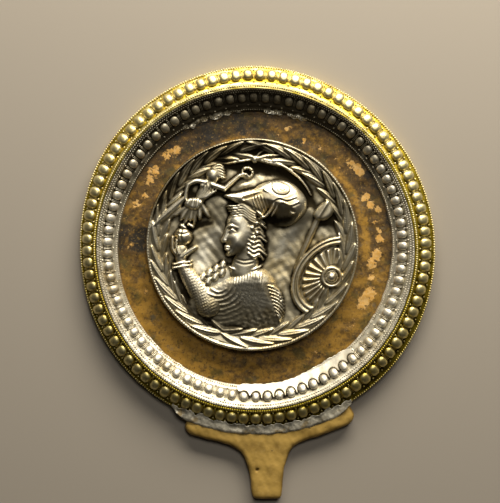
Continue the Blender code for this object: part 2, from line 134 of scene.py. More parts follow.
def addLights():
    for name in ("softbox", "overhead"):
        style = lightStyle[name]
        data = bpy.data.lights.new(name, "AREA")
        data.shape = "RECTANGLE"
        data.size, data.size_y = style["size"]
        data.energy, data.color = style["power"], style["colour"]
        light = bpy.data.objects.new(name, data)
        bpy.context.scene.collection.objects.link(light)
        light.location = style["at"]
        light.rotation_euler = (-Vector(style["at"])).to_track_quat("-Z", "Y").to_euler()
    world = bpy.data.worlds.new("studio")
    world.use_nodes = True
    world.node_tree.nodes["Background"].inputs["Color"].default_value = (*lightStyle["world"], 1.0)
    bpy.context.scene.world = world
    bpy.context.scene.view_settings.view_transform = "Standard"


def put(tree, kind, inputs=None, **settings):  # an input is a value, a socket, or a node's first output
    node = tree.nodes.new(kind)
    for name, value in settings.items():
        setattr(node, name, value)
    for name, value in (inputs or {}).items():
        if isinstance(value, bpy.types.Node):
            value = value.outputs[0]
        if isinstance(value, bpy.types.NodeSocket):
            tree.links.new(value, node.inputs[name])
        else:
            node.inputs[name].default_value = value
    return node


# Relief forms. Each takes the field's u and v and gives a height for every point, or nowhere where
# the form isn't. Places and widths are hundredths of the medallion's radius, and a height of 1 is
# the rise in medallionStyleMm.

nowhere = -1000.0


def smoothBetween(a, b, c, d, t):  # from b at t = 0 to c at t = 1
    bend = (2 * a - 5 * b + 4 * c - d) * t**2 + (3 * b - a - 3 * c + d) * t**3
    return 0.5 * (2 * b + (c - a) * t + bend)


def smoothPath(points, closed=False, steps=6):
    given = np.array(points, float)
    count = len(given)
    found = []
    for i in range(count if closed else count - 1):
        around = [(i + k) % count if closed else min(max(i + k, 0), count - 1) for k in (-1, 0, 1, 2)]
        found += [smoothBetween(*given[around], k / steps) for k in range(steps)]
    if not closed:
        found.append(given[-1])
    return np.array(found)


def nearPath(field, path, margin):  # the points in the box round a path
    u, v = field
    low, high = path.min(axis=0) - margin, path.max(axis=0) + margin
    return (u > low[0]) & (u < high[0]) & (v > low[1]) & (v < high[1])


def fade(value, start, full):  # 0 at start, 1 at full, and even between them
    return np.clip((value - start) / (full - start), 0, 1)


def toSegment(u, v, start, end):
    du, dv = end[0] - start[0], end[1] - start[1]
    share = np.clip(((u - start[0]) * du + (v - start[1]) * dv) / (du * du + dv * dv), 0, 1)
    return np.hypot(u - start[0] - share * du, v - start[1] - share * dv), share


def nearestTo(u, v, starts, ends):
    nearest = np.full(u.shape, 1e9)
    for start, end in zip(starts, ends):
        nearest = np.minimum(nearest, toSegment(u, v, start, end)[0])
    return nearest


def crossSection(style, off):  # height over a form's width, off is 0 on its axis and 1 at its edge
    if style == "leaf":
        plate = np.clip(2.4 * (1 - off), 0, 1)
        return plate * (0.52 + 0.36 * (1 - off) + 0.12 * np.cos(3 * math.pi * off))
    if style == "strand":
        return (1 - off**2) * (0.82 + 0.18 * np.cos(off * 3 * math.pi))
    return np.sqrt(1 - off**2)


def limb(field, points, widths, rise, floor=0.0, style="round"):
    path = smoothPath(points)
    places = np.linspace(0, 1, len(path))
    half = np.interp(places, np.linspace(0, 1, len(widths)), widths)
    base = np.interp(places, (0, 1), floor if isinstance(floor, tuple) else (floor, floor))
    height = np.full(field[0].shape, nowhere)
    near = nearPath(field, path, max(widths))
    u, v = field[0][near], field[1][near]
    local = height[near]
    for i in range(len(path) - 1):
        distance, share = toSegment(u, v, path[i], path[i + 1])
        width = np.maximum(half[i] + share * (half[i + 1] - half[i]), 0.02)
        off = np.minimum(distance / width, 1)
        lifted = base[i] + share * (base[i + 1] - base[i]) + rise * crossSection(style, off)
        local = np.maximum(local, np.where(off < 1, lifted, nowhere))
    height[near] = local
    return height


def limbs(field, *rows):  # each row: points, widths, rise, then the floor and the section where they differ
    return [limb(field, *row) for row in rows]


def inOval(field, centre, radii, tilt):  # shares of the radii of a tilted oval
    u, v = field[0] - centre[0], field[1] - centre[1]
    turn = math.radians(tilt)
    along = (u * math.cos(turn) + v * math.sin(turn)) / radii[0]
    return along, (v * math.cos(turn) - u * math.sin(turn)) / radii[1]


def dome(field, centre, radii, rise, floor=0.0, tilt=0.0):
    along, across = inOval(field, centre, radii, tilt)
    inside = 1 - along**2 - across**2
    return np.where(inside > 0, floor + rise * np.sqrt(np.maximum(inside, 0)), nowhere)


def swell(field, centre, radii, rise, tilt=0.0):  # a soft hill without an edge, to add or take away
    along, across = inOval(field, centre, radii, tilt)
    return rise * np.exp(-(along**2 + across**2))


def crease(field, points, width, depth):  # a soft line to add, or a groove where depth is below 0
    path = smoothPath(points)
    found = np.zeros(field[0].shape)
    near = nearPath(field, path, 3 * width)
    nearest = nearestTo(field[0][near], field[1][near], path, path[1:])
    found[near] = depth * np.exp(-((nearest / width) ** 2))
    return found


def insideBy(field, points):  # distance in from a smooth closed outline
    outline = smoothPath(points, closed=True)
    ends = np.roll(outline, -1, axis=0)
    found = np.full(field[0].shape, -1.0)
    near = nearPath(field, outline, 1.0)
    u, v = field[0][near], field[1][near]
    nearest = nearestTo(u, v, outline, ends)
    inside = np.zeros(u.shape, bool)
    for start, end in zip(outline, ends):
        if start[1] != end[1]:
            crossing = start[0] + (v - start[1]) / (end[1] - start[1]) * (end[0] - start[0])
            inside ^= ((start[1] > v) != (end[1] > v)) & (u < crossing)
    found[near] = np.where(inside, nearest, -nearest)
    return found


def pad(field, points, edge, rise, floor=0.0):
    deep = insideBy(field, points)
    full = np.clip(deep / edge, 0, 1)
    return np.where(deep > 0, floor + rise * np.sqrt(1 - (1 - full) ** 2), nowhere)


def ringBand(field, centre, radius, halfWidth, rise, floor):
    off = np.abs(np.hypot(field[0] - centre[0], field[1] - centre[1]) - radius) / halfWidth
    return np.where(off < 1, floor + rise * np.sqrt(np.maximum(1 - off**2, 0)), nowhere)


def together(forms):
    return np.maximum.reduce(forms)


def changed(form, *changes):  # adds changes only where the form is
    return np.where(form > nowhere / 2, form + sum(changes), form)


def ripples(u, v, size, seed):  # even, seeded unevenness of about one unit
    draw = np.random.RandomState(seed)
    total = np.zeros(np.shape(u))
    weight, power = 1.0, 0.0
    for octave in range(2):
        for wave in range(6):
            turn = draw.uniform(0, 2 * math.pi)
            pace = 2 * math.pi / (size * draw.uniform(0.75, 1.35))
            total += weight * np.sin((u * math.cos(turn) + v * math.sin(turn)) * pace + draw.uniform(0, 6.3))
            power += weight**2 / 2
        size, weight = size / 2, weight * 0.55
    return total / math.sqrt(power)


wreathStyle = {
    "middle": 88.4, "halfWidth": 8.6, "floor": 1.6, "dish": 0.20, "foot": -110.0, "top": 88.0,
    "rightLeaves": 17, "leftLeaves": 15, "leafWidth": 4.4, "leafRise": 3.0, "seed": 4,
}
ribbonPaths = (  # from the knot at the wreath's top
    [(2, 79), (7, 86), (16, 89.5), (27, 88)], [(2, 79), (13, 83), (27, 84)],
    [(3, 80), (14, 77), (28, 74), (38, 69)], [(1, 80), (-10, 78.5), (-24, 76), (-36, 76)],
    [(4, 81), (24, 76), (41, 65), (50, 55), (55, 46)],
)


def wreath(field):
    style = wreathStyle
    draw = np.random.RandomState(style["seed"])
    middle, halfWidth, floor = style["middle"], style["halfWidth"], style["floor"]
    innerEdge = middle - halfWidth
    radius, turn = np.hypot(*field), np.arctan2(field[1], field[0])
    slope = 5.0 + 9.0 * np.clip(np.sin(turn - 0.25) - 0.55, 0, 1)
    bank = np.clip((radius - innerEdge - 1 + slope - 5 + 0.8 * ripples(*field, 15.0, 71)) / slope, 0, 1)
    dish = np.maximum(style["dish"] * (radius - innerEdge), 0) * np.clip((99 - radius) / 3, 0.6, 1)
    forms = [np.where(bank > 0, floor * bank + dish, nowhere)]
    foot, top = math.radians(style["foot"]), math.radians(style["top"])
    branches = ((top - foot, style["rightLeaves"]), (top - foot - 2 * math.pi, style["leftLeaves"]))
    for climb, count in branches:
        for leaf in range(count):
            for lean in (-1.0, 1.0):
                start = foot + climb * (leaf - 0.2 + 0.25 * lean + draw.uniform(-0.1, 0.1)) / count
                end = start + climb * (1.5 + draw.uniform(-0.15, 0.15)) / count
                spread = lean * draw.uniform(0.78, 0.98)
                path = []
                outwards = (0.05 * lean, 0.36 * spread, 0.72 * spread, spread)
                for share, out in zip((0.0, 0.3, 0.68, 1.0), outwards):
                    reach = middle + out * halfWidth
                    at = start + (end - start) * share
                    path.append((reach * math.cos(at), reach * math.sin(at)))
                wide = style["leafWidth"] * draw.uniform(0.9, 1.15)
                shape = [share * wide for share in (0.35, 0.9, 1.0, 0.85, 0.5, 0.05)]
                low = floor - 0.4 + style["dish"] * (0.5 + 0.5 * lean) * halfWidth
                forms.append(limb(field, path, shape, style["leafRise"], (low - 1.0, low + 1.6), "leaf"))
    for ribbon in ribbonPaths:
        forms.append(limb(field, ribbon, [0.8, 1.4, 0.5], 1.5, floor + 2.0, "strand"))
    return together(forms + [dome(field, (2, 80), (3.0, 3.6), 2.2, floor + 2.0)])


lipStyle = {"radius": 98.6, "thin": 0.8, "thick": 1.8, "rise": 1.4, "floor": 5.0, "ribs": 230}


def lip(field):
    style = lipStyle
    radius, turn = np.hypot(*field), np.arctan2(field[1], field[0])
    half = style["thin"] + (style["thick"] - style["thin"]) * (0.5 - 0.5 * np.sin(turn))
    band = ringBand(field, (0, 0), style["radius"], half, style["rise"], style["floor"])
    twist = np.sin(style["ribs"] * turn + (radius - style["radius"]) * 1.2)
    uneven = 0.5 * np.sin(3 * turn + 1.0) + 0.3 * np.sin(7 * turn)
    return changed(band, 0.20 * twist + 0.4 * uneven)


shieldStyle = {
    "centre": (74.3, -30.6), "radii": (43.0, 32.8), "tilt": 45.0, "ribs": 24,
    "boss": 0.28, "ribEnd": 0.73, "rim": 0.79, "cutOff": 82.5,
}


def shield(field):
    style = shieldStyle
    centre, rim = style["centre"], style["rim"]
    along, across = inOval(field, centre, style["radii"], style["tilt"])
    share = np.hypot(along, across)
    wave = np.clip(0.55 + 0.75 * np.cos(style["ribs"] * np.arctan2(across, along)), 0, 1.15)
    boss, ribEnd = style["boss"], style["ribEnd"]
    inRibs = fade(share, boss, boss + 0.04) * fade(share, ribEnd, ribEnd - 0.03)
    dish = 1.6 + 2.4 * (1 - share) + 1.7 * wave * inRibs
    over = np.clip((share - rim) / (1 - rim), 0, 1)
    innerBand = 3.6 + 1.5 * np.sqrt(np.clip(1 - ((over - 0.26) / 0.26) ** 2, 0, 1))
    outerBand = 3.9 + 1.6 * np.sqrt(np.clip(1 - ((over - 0.76) / 0.24) ** 2, 0, 1))
    height = np.where(share < rim, dish, np.where(over > 0.52, outerBand, innerBand))
    height = np.where((share < 1) & (np.hypot(*field) < style["cutOff"]), height, nowhere)
    return together([
        height, ringBand(field, centre, 8.6, 1.5, 1.7, 4.6), ringBand(field, centre, 5.6, 0.8, 0.8, 4.6),
        dome(field, centre, (4.4, 4.4), 3.8, 4.4),
    ])


spearheadOutline = (
    (71, 41.5), (65, 38.5), (59.5, 33), (57.5, 27.5), (60, 23.5), (66, 22), (72.5, 25), (76, 30), (75, 36),
)


def spear(field):
    blade = pad(field, spearheadOutline, 4.0, 2.6, 3.4)
    blade = changed(blade, crease(field, [(60, 23), (65, 31), (71, 41)], 1.6, 0.9))
    shaft = limb(field, [(39, -25), (49, -4), (61.5, 24)], [1.4, 2.7, 2.9], 2.2, (0.6, 3.0), "strand")
    return together([shaft, blade])


overfoldOutline = ((-64, 38), (-60, 43), (-53, 43.5), (-47, 40), (-49, 35), (-54, 32.5), (-60, 34))
skirtFolds = (  # each from its waist over a knee to its hem, as the cloth blows back to the left
    ((-61, 36), (-67, 31.5), (-74, 27)), ((-59, 35), (-64, 29), (-67.5, 23)),
    ((-57, 35), (-60.5, 27), (-65, 18.5)), ((-55, 35), (-57.5, 29), (-58.5, 22.5)),
    ((-53, 36), (-54, 28), (-55, 18.5)), ((-50, 37), (-50, 31), (-49.5, 23.5)),
    ((-48, 38), (-45.5, 33), (-41, 26)),
)


def wingedFigure(field):
    forms = limbs(
        field,  # wing, body, the two arms, neck and feet
        ([(-64, 43.5), (-73, 35.5), (-84, 26), (-95, 16)], [1.8, 3.3, 3.2, 1.2], 2.6, (5.2, 4.0), "strand"),
        ([(-68, 46.5), (-74, 42), (-80, 36.5)], [1.2, 2.1, 0.9], 2.0, (4.8, 4.0), "strand"),
        ([(-66, 39), (-76, 29.5), (-87, 19)], [1.2, 2.2, 0.8], 1.8, (4.0, 3.0), "strand"),
        ([(-68, 35), (-76, 26.5), (-83, 19)], [1.0, 1.8, 0.7], 1.6, (3.4, 2.6), "strand"),
        ([(-40, 57), (-46, 50), (-50, 42)], [6.4, 5.0, 4.6], 3.6, 3.6),
        ([(-44, 58), (-53, 59.5), (-60.5, 56)], [2.6, 2.3, 2.0], 2.8, 5.0),
        ([(-60.5, 56), (-62.5, 49), (-63, 42)], [2.1, 1.8, 1.4], 2.6, 5.2),
        ([(-38, 56), (-32, 54), (-26.5, 52)], [2.6, 2.7, 2.4], 2.8, 5.6),
        ([(-26.5, 52), (-20, 58), (-12, 65)], [2.4, 2.2, 1.6], 2.8, (5.6, 4.4)),
        ([(-9, 65), (-6, 66), (-3.5, 63.5)], [0.9, 0.9, 0.7], 1.4, 5.0),
        ([(-40, 60), (-41, 57)], [2.6, 3.0], 2.6, 4.6),
        ([(-60, 19), (-56, 16.5)], [1.6, 1.4], 1.8, 6.0),
        ([(-67, 18), (-63, 15.5)], [1.6, 1.4], 1.8, 6.0),
    )
    forms += [
        dome(field, (-41, 54.5), (3.0, 2.4), 1.4, 6.2, 40),
        dome(field, (-47, 55.5), (2.8, 2.4), 1.4, 6.2, 40),
        dome(field, (-9.5, 65.5), (3.0, 2.0), 2.2, 4.6, 35),
        dome(field, (-37, 64.8), (6.6, 7.2), 5.2, 4.0),
    ]
    for lock in range(5):
        start = (-38.5 + 0.8 * lock, 71.2 - 0.2 * lock)
        end = (-27.5 + 0.3 * lock, 73 - 2.6 * lock)
        path = [start, (end[0] - 4.5, end[1] + 1.6), end]
        forms.append(limb(field, path, [0.7, 1.5, 1.0], 1.4, (7.0, 6.2), "strand"))
    for fold in range(5):
        top, foot = -45 + 2.6 * fold, -52 + 1.9 * fold
        path = [(top, 57 - 0.5 * fold), (top - 0.5, 50), (foot, 43)]
        forms.append(limb(field, path, [0.5, 0.9, 0.6], 1.1, (6.8, 6.6)))
    overfold = pad(field, overfoldOutline, 3.0, 3.0, 6.0)
    for line in ([(-57, 43), (-60, 34)], [(-53, 43), (-54.5, 33)], [(-50, 41), (-50, 35)]):
        overfold = changed(overfold, crease(field, line, 0.8, -1.1))
    for fold, path in enumerate(skirtFolds):
        deep, wide = 1.3 * (fold % 2), 1.0 + 0.22 * math.sin(2.6 * fold)
        forms.append(limb(field, path, [1.4, 2.3 * wide, 2.5 * wide, 0.9], 2.2, (4.6, 2.8 + deep)))
    ring, berries = (-5.0, 67.5), 9  # the small wreath in its hand
    for berry in range(berries):
        turn = 2 * math.pi * berry / berries
        place = (ring[0] + 5.0 * math.cos(turn), ring[1] + 4.2 * math.sin(turn))
        forms.append(dome(field, place, (1.6 + 0.4 * (berry % 2), 1.4), 1.1, 3.2))
    return together(forms + [overfold, ringBand(field, ring, 5.0, 1.4, 1.0, 2.6)])


def raisedArm(field):
    sleeve = limb(field, [(-42, -56), (-55, -38), (-65, -22)], [13.0, 8.8, 6.0], 6.0, (4.0, 2.4))
    forms = limbs(
        field,
        ([(-74, -22), (-58, -19.5)], [1.5, 1.5], 2.2, 6.4),  # two bracelets, then the hand
        ([(-74, -18.5), (-58.5, -16)], [1.2, 1.2], 1.8, 6.0),
        ([(-67, -17), (-67.5, -11), (-67, -5)], [4.8, 5.2, 5.8], 3.6, 3.2),
        ([(-70, -11), (-75, -4), (-75, 7)], [2.2, 2.0, 1.3], 2.4, 3.8),
        ([(-69, -9), (-71.5, -2), (-71.5, 4)], [1.5, 1.3, 1.0], 1.8, 6.0),
        ([(-67, -12), (-61, -7.5), (-54, -3)], [2.6, 2.6, 1.8], 2.6, 5.0, "leaf"),
    )
    globe = changed(
        dome(field, (-65.2, 7.5), (8.6, 8.6), 6.2, 2.8),
        crease(field, [(-72.5, 11), (-65, 9.5), (-58, 12)], 0.8, -0.9),
        crease(field, [(-66, 15), (-67.5, 7), (-64, 0)], 0.8, -0.7),
        swell(field, (-72.5, 6.5), (2.0, 2.2), -2.2),
    )
    return together(forms + [globe, changed(sleeve, 0.16 * ripples(*field, 2.4, 77))])


bustStyle = {
    "arcPitch": 4.3, "arcWidth": 0.20, "arcRise": 1.0, "arcFloor": -0.30,  # the folds that hang in arcs
    "pleatRise": 0.42, "mailRise": 0.11, "mailGrain": 2.4, "drapeRise": 0.20, "strands": 9,
}
chestOutline = (
    (-52, -38), (-42, -29), (-28, -20), (-10, -16), (2, -19), (9, -28), (10, -45), (-20, -60), (-45, -60),
    (-55, -48),
)
torsoOutline = (
    (-54, -43), (-40, -38.5), (-29, -34), (-17, -27.5), (-3, -22.5), (9, -21), (23, -30), (34, -48),
    (40, -66), (32, -86), (2, -92), (-30, -90), (-58, -76), (-66, -58),
)


def bust(field):
    u, v = field
    style = bustStyle
    right = 0.905 * (u - 2 - 0.47 * (-24 - v))
    falling = 0.205 * np.minimum(v + 36, 0) - 0.52 * np.maximum(right, 0)
    sweep = np.hypot((u + 33) * 0.86, v + 38) + 0.25 * ripples(u, v, 15.0, 72)
    wave = np.exp(-((((sweep / style["arcPitch"]) % 1.0 - 0.5) / style["arcWidth"]) ** 2))
    hung = fade(v, -40, -44) * fade(u, -6, -13) * fade(u, -48, -42) * np.clip(1.5 - sweep / 24, 0.22, 1)
    arcs = (style["arcRise"] * wave + style["arcFloor"]) * hung
    pleats = style["pleatRise"] * np.sin((u - 0.22 * v + 0.006 * (v + 40) ** 2) * math.pi / 1.25)
    pleats *= fade(u, -20, -12) * fade(u, 11, 6) * fade(v, -60, -46)
    inMail = swell(field, (-5, -51), (13, 8), 1.3) + swell(field, (-45, -55), (10, 10), 1.3)
    mail = style["mailRise"] * ripples(u, v, style["mailGrain"], 74) * np.clip(inMail, 0, 1)
    drape = np.sin((u * 0.95 + 0.25 * v + 2 * np.sin(v / 9)) * math.pi / 2.9) + 0.5 * ripples(u, v, 5.0, 76)
    drape *= style["drapeRise"] * fade(v, -60, -67) * fade(u, -16, -6) * fade(u, 26, 18)
    dents = 0.05 * ripples(u, v, 6.0, 75)
    body = changed(pad(field, torsoOutline, 11.0, 9.4, 2.0), falling, arcs, pleats, mail, drape, dents)
    forms = [pad(field, chestOutline, 12.0, 4.6, 1.6), body]
    for strand in range(style["strands"]):
        share = strand / (style["strands"] - 1)
        top = (14.5 + 8.5 * share, -38.5 - 27.5 * share)
        aim = math.radians(-11 - 34 * share**3)
        path = [top]
        for reach in (0.35, 0.7, 1.0):
            bent = aim - 0.4 * reach
            length = (15.5 - 9 * share**3) * reach
            path.append((top[0] + length * math.cos(bent), top[1] + length * math.sin(bent)))
        forms.append(limb(field, path, [0.6, 0.95, 1.0, 0.4], 3.0, (6.6 - 2.4 * share, 3.4)))
    for row, step in ((0, 0), (0, 1), (0, 2), (0, 3), (1, 0), (1, 1), (1, 2)):  # scales on the near shoulder
        start = (-46 + 6.4 * step + 5.6 * row, -28.5 + 4.0 * step - 3.0 * row)
        end = (start[0] - 1.8, start[1] - 4.4)
        height = 4.6 + 0.5 * step + 1.4 * row
        forms.append(limb(field, [start, end], [1.9, 3.1, 2.8], 1.9, (height - 0.8, height + 0.6), "leaf"))
    return together(forms + limbs(
        field,
        ([(-54, -37), (-42, -28), (-26, -19)], [0.9, 1.3, 0.9], 1.4, (4.0, 5.0)),  # hems
        ([(-22, -21), (-12, -25), (0, -24), (8, -20)], [0.8, 1.3, 1.3, 0.8], 1.2, (7.6, 8.6)),
    ))


# The head's profile is a plain ideal one, in shares of the head's height, forward and up from the ear
headStyle = {"height": 60.0, "ear": (-1.0, 7.0), "locks": 9, "curls": 6, "waves": 5}
profileShares = (
    (0.10, 0.42), (0.30, 0.38), (0.375, 0.27), (0.392, 0.14), (0.435, 0.03), (0.474, -0.055),
    (0.452, -0.088), (0.408, -0.098), (0.424, -0.145), (0.404, -0.170), (0.416, -0.192),
    (0.386, -0.220), (0.396, -0.272), (0.350, -0.306), (0.20, -0.262), (0.04, -0.20), (-0.10, 0.10),
)


def onHead(*shares):
    ear, height = headStyle["ear"], headStyle["height"]
    return [(ear[0] - forward * height, ear[1] + up * height) for forward, up in shares]


def head(field):
    style = headStyle
    forms = limbs(
        field,  # neck, nose, brow, lips and lids
        ([(-4, 4), (-5, -10), (-8, -26)], [12.0, 11.0, 14.0], 6.4, (4.0, 3.6)),
        (onHead((0.375, 0.15), (0.395, 0.04), (0.43, -0.05)), [1.6, 2.0, 2.7], 2.6, (8.0, 8.4)),
        (onHead((0.375, 0.155), (0.31, 0.175), (0.21, 0.14)), [0.9, 1.5, 0.8], 1.5, (11.0, 11.6)),
        (onHead((0.405, -0.150), (0.36, -0.160), (0.325, -0.172)), [1.3, 1.2, 0.4], 1.5, 10.2),
        (onHead((0.395, -0.190), (0.36, -0.192), (0.335, -0.180)), [1.4, 1.2, 0.4], 1.5, 10.2),
        (onHead((0.345, 0.085), (0.305, 0.117), (0.255, 0.080)), [0.5, 0.8, 0.5], 0.9, 11.5),
        (onHead((0.345, 0.080), (0.305, 0.055), (0.260, 0.075)), [0.4, 0.6, 0.4], 0.7, 11.2),
    )
    skull = together([forms[0], pad(field, onHead(*profileShares), 14.0, 8.0, 4.6)])
    for place, radii, rise in (
        ((0.25, -0.05), (7.0, 7.5), 1.9), ((0.30, 0.24), (7.0, 5.0), 0.9), ((0.34, -0.25), (3.6, 3.0), 1.5),
        ((0.15, -0.16), (7.0, 5.0), 0.8), ((0.30, 0.09), (4.4, 2.6), -1.9), ((0.36, -0.10), (2.4, 2.0), -0.5),
    ):
        skull = changed(skull, swell(field, onHead(place)[0], radii, rise))
    eyePlace, pupil, wing = onHead((0.300, 0.085), (0.312, 0.085), (0.408, -0.055))
    eye = changed(dome(field, eyePlace, (2.7, 1.6), 1.5, 10.6), swell(field, pupil, (0.7, 0.7), -0.5))
    height = together(forms[1:] + [skull, eye, dome(field, wing, (1.8, 1.5), 2.0, 9.2)])
    height = changed(
        height, crease(field, onHead((0.40, -0.171), (0.36, -0.177), (0.325, -0.176)), 0.5, -0.8),
        crease(field, [(-16, -13), (-8, -15.5), (1, -14)], 0.7, -0.7),  # two folds on the neck
        crease(field, [(-16, -16.5), (-8, -19), (1, -17.5)], 0.7, -0.6),
    )
    forms = [height]
    for lock in range(style["locks"]):
        top, reach = 22 - 4.2 * lock, 11.5 + 1.6 * math.sin(2.1 * lock)
        path = [(-4, top + 3.5), (1, top), (6, top + 1.8), (reach, top - 2.8)]
        forms.append(limb(field, path, [1.2, 2.2, 2.2, 0.8], 2.2, (10.2, 6.8), "strand"))
    for curl in range(style["curls"]):
        place = (2.2 + 2.6 * math.sin(2.4 * curl), 24.5 - 4.6 * curl)
        forms.append(dome(field, place, (2.3, 2.0), 2.2, 10.2))
        drilled = dome(field, place, (2.3, 2.0), 2.4, 10.2)
        forms.append(changed(drilled, swell(field, place, (0.8, 0.7), -1.2)))
    for wave in range(style["waves"]):
        drop = 2.35 * wave
        high = ((-24 + 1.2 * wave, 36), (-16, 35.8), (-9, 36.5), (-2, 31.5), (3, 29))
        path = [(u, v - drop) for u, v in high]
        forms.append(limb(field, path, [0.6, 1.4, 1.5, 1.5, 0.9], 1.9, (9.0, 11.4), "strand"))
    return together(forms)


helmetStyle = {
    "spiral": (27.5, 52.0), "spiralOval": 1.5, "spiralPitch": 1.6, "spiralRise": 0.42, "spiralReach": 3.6,
    "panelRise": 1.2, "curl": (38, 31.5),
}
skullOutline = (
    (-4, 44), (2, 53), (11, 58), (25, 60.5), (36, 58), (45, 51), (51, 41), (50, 32), (44, 24), (34, 17.5),
    (23, 17), (13, 21), (6, 30),
)
peakOutline = (
    (-27, 46), (-14, 48.5), (0, 51.5), (10, 54), (16, 49), (17, 38), (9, 26), (0, 29), (-10, 36), (-19, 41),
)


def helmet(field):
    u, v = field
    style = helmetStyle
    skull = pad(field, skullOutline, 17.0, 10.5, 3.6)
    skull = np.minimum(skull, 2.6 + 0.56 * (v - 17 + 0.3 * (u - 30)))
    away, turn = (u - style["spiral"][0]) / style["spiralOval"], v - style["spiral"][1]
    away, turn = np.hypot(away, turn), np.arctan2(turn, away)
    rings = style["spiralRise"] * np.cos(2 * math.pi * away / style["spiralPitch"] - turn)
    rings *= np.clip((style["spiralReach"] - away) / 0.8, 0, 1)
    egg = [(17.5, 57), (18, 51), (23, 46.5), (31, 46), (35.5, 50), (34, 55.5), (27.5, 58.5)]
    skull = changed(skull, rings, crease(field, egg, 0.6, -0.9))
    for swirl in (
        [(19, 41), (25, 43.5), (32, 41.5), (40, 44)], [(22, 36.5), (28, 39.5), (35, 36.5), (43, 39.5)],
    ):
        lower = [(a, b - 1.6) for a, b in swirl]
        skull = changed(skull, crease(field, swirl, 0.7, 0.6), crease(field, lower, 0.7, -0.6))
    panel = style["panelRise"] * np.sin((u + 0.35 * v) * math.pi / 1.45)
    panel *= fade(u, -0.5, 2.5) * fade(u, 17, 14) * fade(v, 31, 34) * fade(v, 46, 43)
    peak = changed(
        pad(field, peakOutline, 8.0, 5.2, 8.0), panel,
        crease(field, [(-22, 45), (-10, 47), (4, 50), (13, 51.5)], 0.8, -0.9),
        crease(field, [(-20, 42.5), (-10, 39.5), (2, 33), (9, 29.5)], 0.8, -0.9),
        crease(field, [(-8, 43), (2, 46), (10, 48.5), (14, 45)], 1.1, -2.4),
    )
    curl = ringBand(field, style["curl"], 2.8, 1.1, 1.4, 10.6)
    curlHeart = dome(field, style["curl"], (1.2, 1.2), 1.4, 10.6)
    return together([skull, peak, curl, curlHeart] + limbs(
        field,  # the raised bands over the brow
        ([(11, 51), (17.5, 46), (19.5, 37), (13, 27), (8, 25)], [1.0, 1.5, 1.6, 1.5, 1.0], 2.0, 12, "strand"),
        ([(15, 50), (21, 45), (23, 36), (18, 27)], [0.8, 1.2, 1.2, 0.8], 1.6, 11.6),
        ([(-26, 45.5), (-14, 43), (-4, 38), (4, 31), (9, 27)], [0.5, 1.1, 1.2, 1.2, 0.8], 1.6, (8.2, 12.4)),
    ))


groundStyle = {"wave": 0.14, "size": 17.0, "seed": 11, "bankReach": 0.075, "rise": 0.46}
groundSwells = (  # centre, radii, rise and tilt of the sheet's soft hills and hollows
    ((-33, 36), (9, 7), 1.3, 30), ((-9, 55), (9, 3.5), 2.2, 18),
    ((40, 20), (24, 7), 1.6, 52), ((30, 17), (12, 5), -1.4, 15),
)


def softened(height, cells, rounds=3):  # a running mean over a square grid, for soft banks and dirt
    for turn in range(rounds):
        for axis in (0, 1):
            padded = np.pad(height, [(cells, cells) if a == axis else (0, 0) for a in (0, 1)], mode="edge")
            total = np.cumsum(padded, axis=axis)
            first = np.take(total, [0], axis=axis) * 0
            total = np.concatenate([first, total], axis=axis)
            width = 2 * cells + 1
            ahead = np.take(total, range(width, total.shape[axis]), axis=axis)
            behind = np.take(total, range(0, total.shape[axis] - width), axis=axis)
            height = (ahead - behind) / width
    return height


def relief(field):
    style = groundStyle
    shapes = (spear, shield, bust, raisedArm, head, helmet, wingedFigure)
    figures = together([shape(field) for shape in shapes])
    border = together([wreath(field), lip(field)])
    cells = max(1, round(style["bankReach"] * len(field[0]) / 2))
    bank = softened(np.clip(together([figures, border]), 0, None), cells)
    ground = style["rise"] * bank + style["wave"] * ripples(*field, style["size"], style["seed"])
    for centre, radii, rise, tilt in groundSwells:
        ground += swell(field, centre, radii, rise, tilt)
    ground += crease(field, [(-20, 74), (10, 69), (36, 62), (51, 50), (55, 38)], 4.5, -1.6)
    height = together([np.maximum(ground, 0), figures, border])
    return 0.5 * (height + softened(height, 1, 1))


paintedShadeAndLightPaths = (  # painted shade in the deep places and painted light on a few raised and flat ones: a path, its width, and how much darker, or brighter below 0
    (((-28, 77), (-5, 72), (20, 69), (40, 61), (52, 49), (56, 38)), 5.0, 0.42),
    (((-90, 34), (-72, 62), (-50, 80), (-20, 90), (5, 92)), 9.0, 0.42),
    (((10, 90), (40, 80), (66, 62), (84, 34)), 6.0, 0.26),
    (((18, 24), (30, 22), (42, 27)), 5.5, 0.45), (((66, 21), (73, 20), (78, 26)), 4.5, 0.40),
    (((-60, 15), (-50, 18), (-38, 20)), 3.0, 0.40), (((-58, 50), (-55, 46)), 3.0, 0.40),
    (((-36, 48), (-29, 47)), 3.0, 0.35), (((7, 14), (10, 0), (9, -14)), 4.5, 0.38),
    (((-60, -48), (-52, -64), (-30, -77), (-8, -79)), 5.5, 0.30),
    (((-36, -62), (-20, -68), (-2, -66)), 5.0, 0.14), (((-70, -30), (-66, -44), (-60, -56)), 3.0, 0.24),
    (((-66, 44), (-80, 32), (-94, 17)), 4.0, -0.30),
    (((-50, -20), (-44, -4), (-30, 12)), 9.0, -0.34), (((26, -10), (34, 6), (46, 24)), 7.0, -0.28),
    (((-26, -36), (-8, -42), (6, -50)), 11.0, -0.34),
)


# painted shade and painted light along the listed paths, taken from the medallion's tone
def paintedShadeAndLight(field):
    return sum(crease(field, path, width, depth) for path, width, depth in paintedShadeAndLightPaths)


# Shader groups

def shaderGroup(name, inputs, outputs):
    tree = bpy.data.node_groups.new(name, "ShaderNodeTree")
    for label, value in inputs.items():
        socket = tree.interface.new_socket(name=label, in_out="INPUT", socket_type="NodeSocketFloat")
        socket.default_value = value
    for label in outputs:
        tree.interface.new_socket(name=label, in_out="OUTPUT", socket_type="NodeSocketFloat")
    return tree, tree.nodes.new("NodeGroupInput"), tree.nodes.new("NodeGroupOutput")


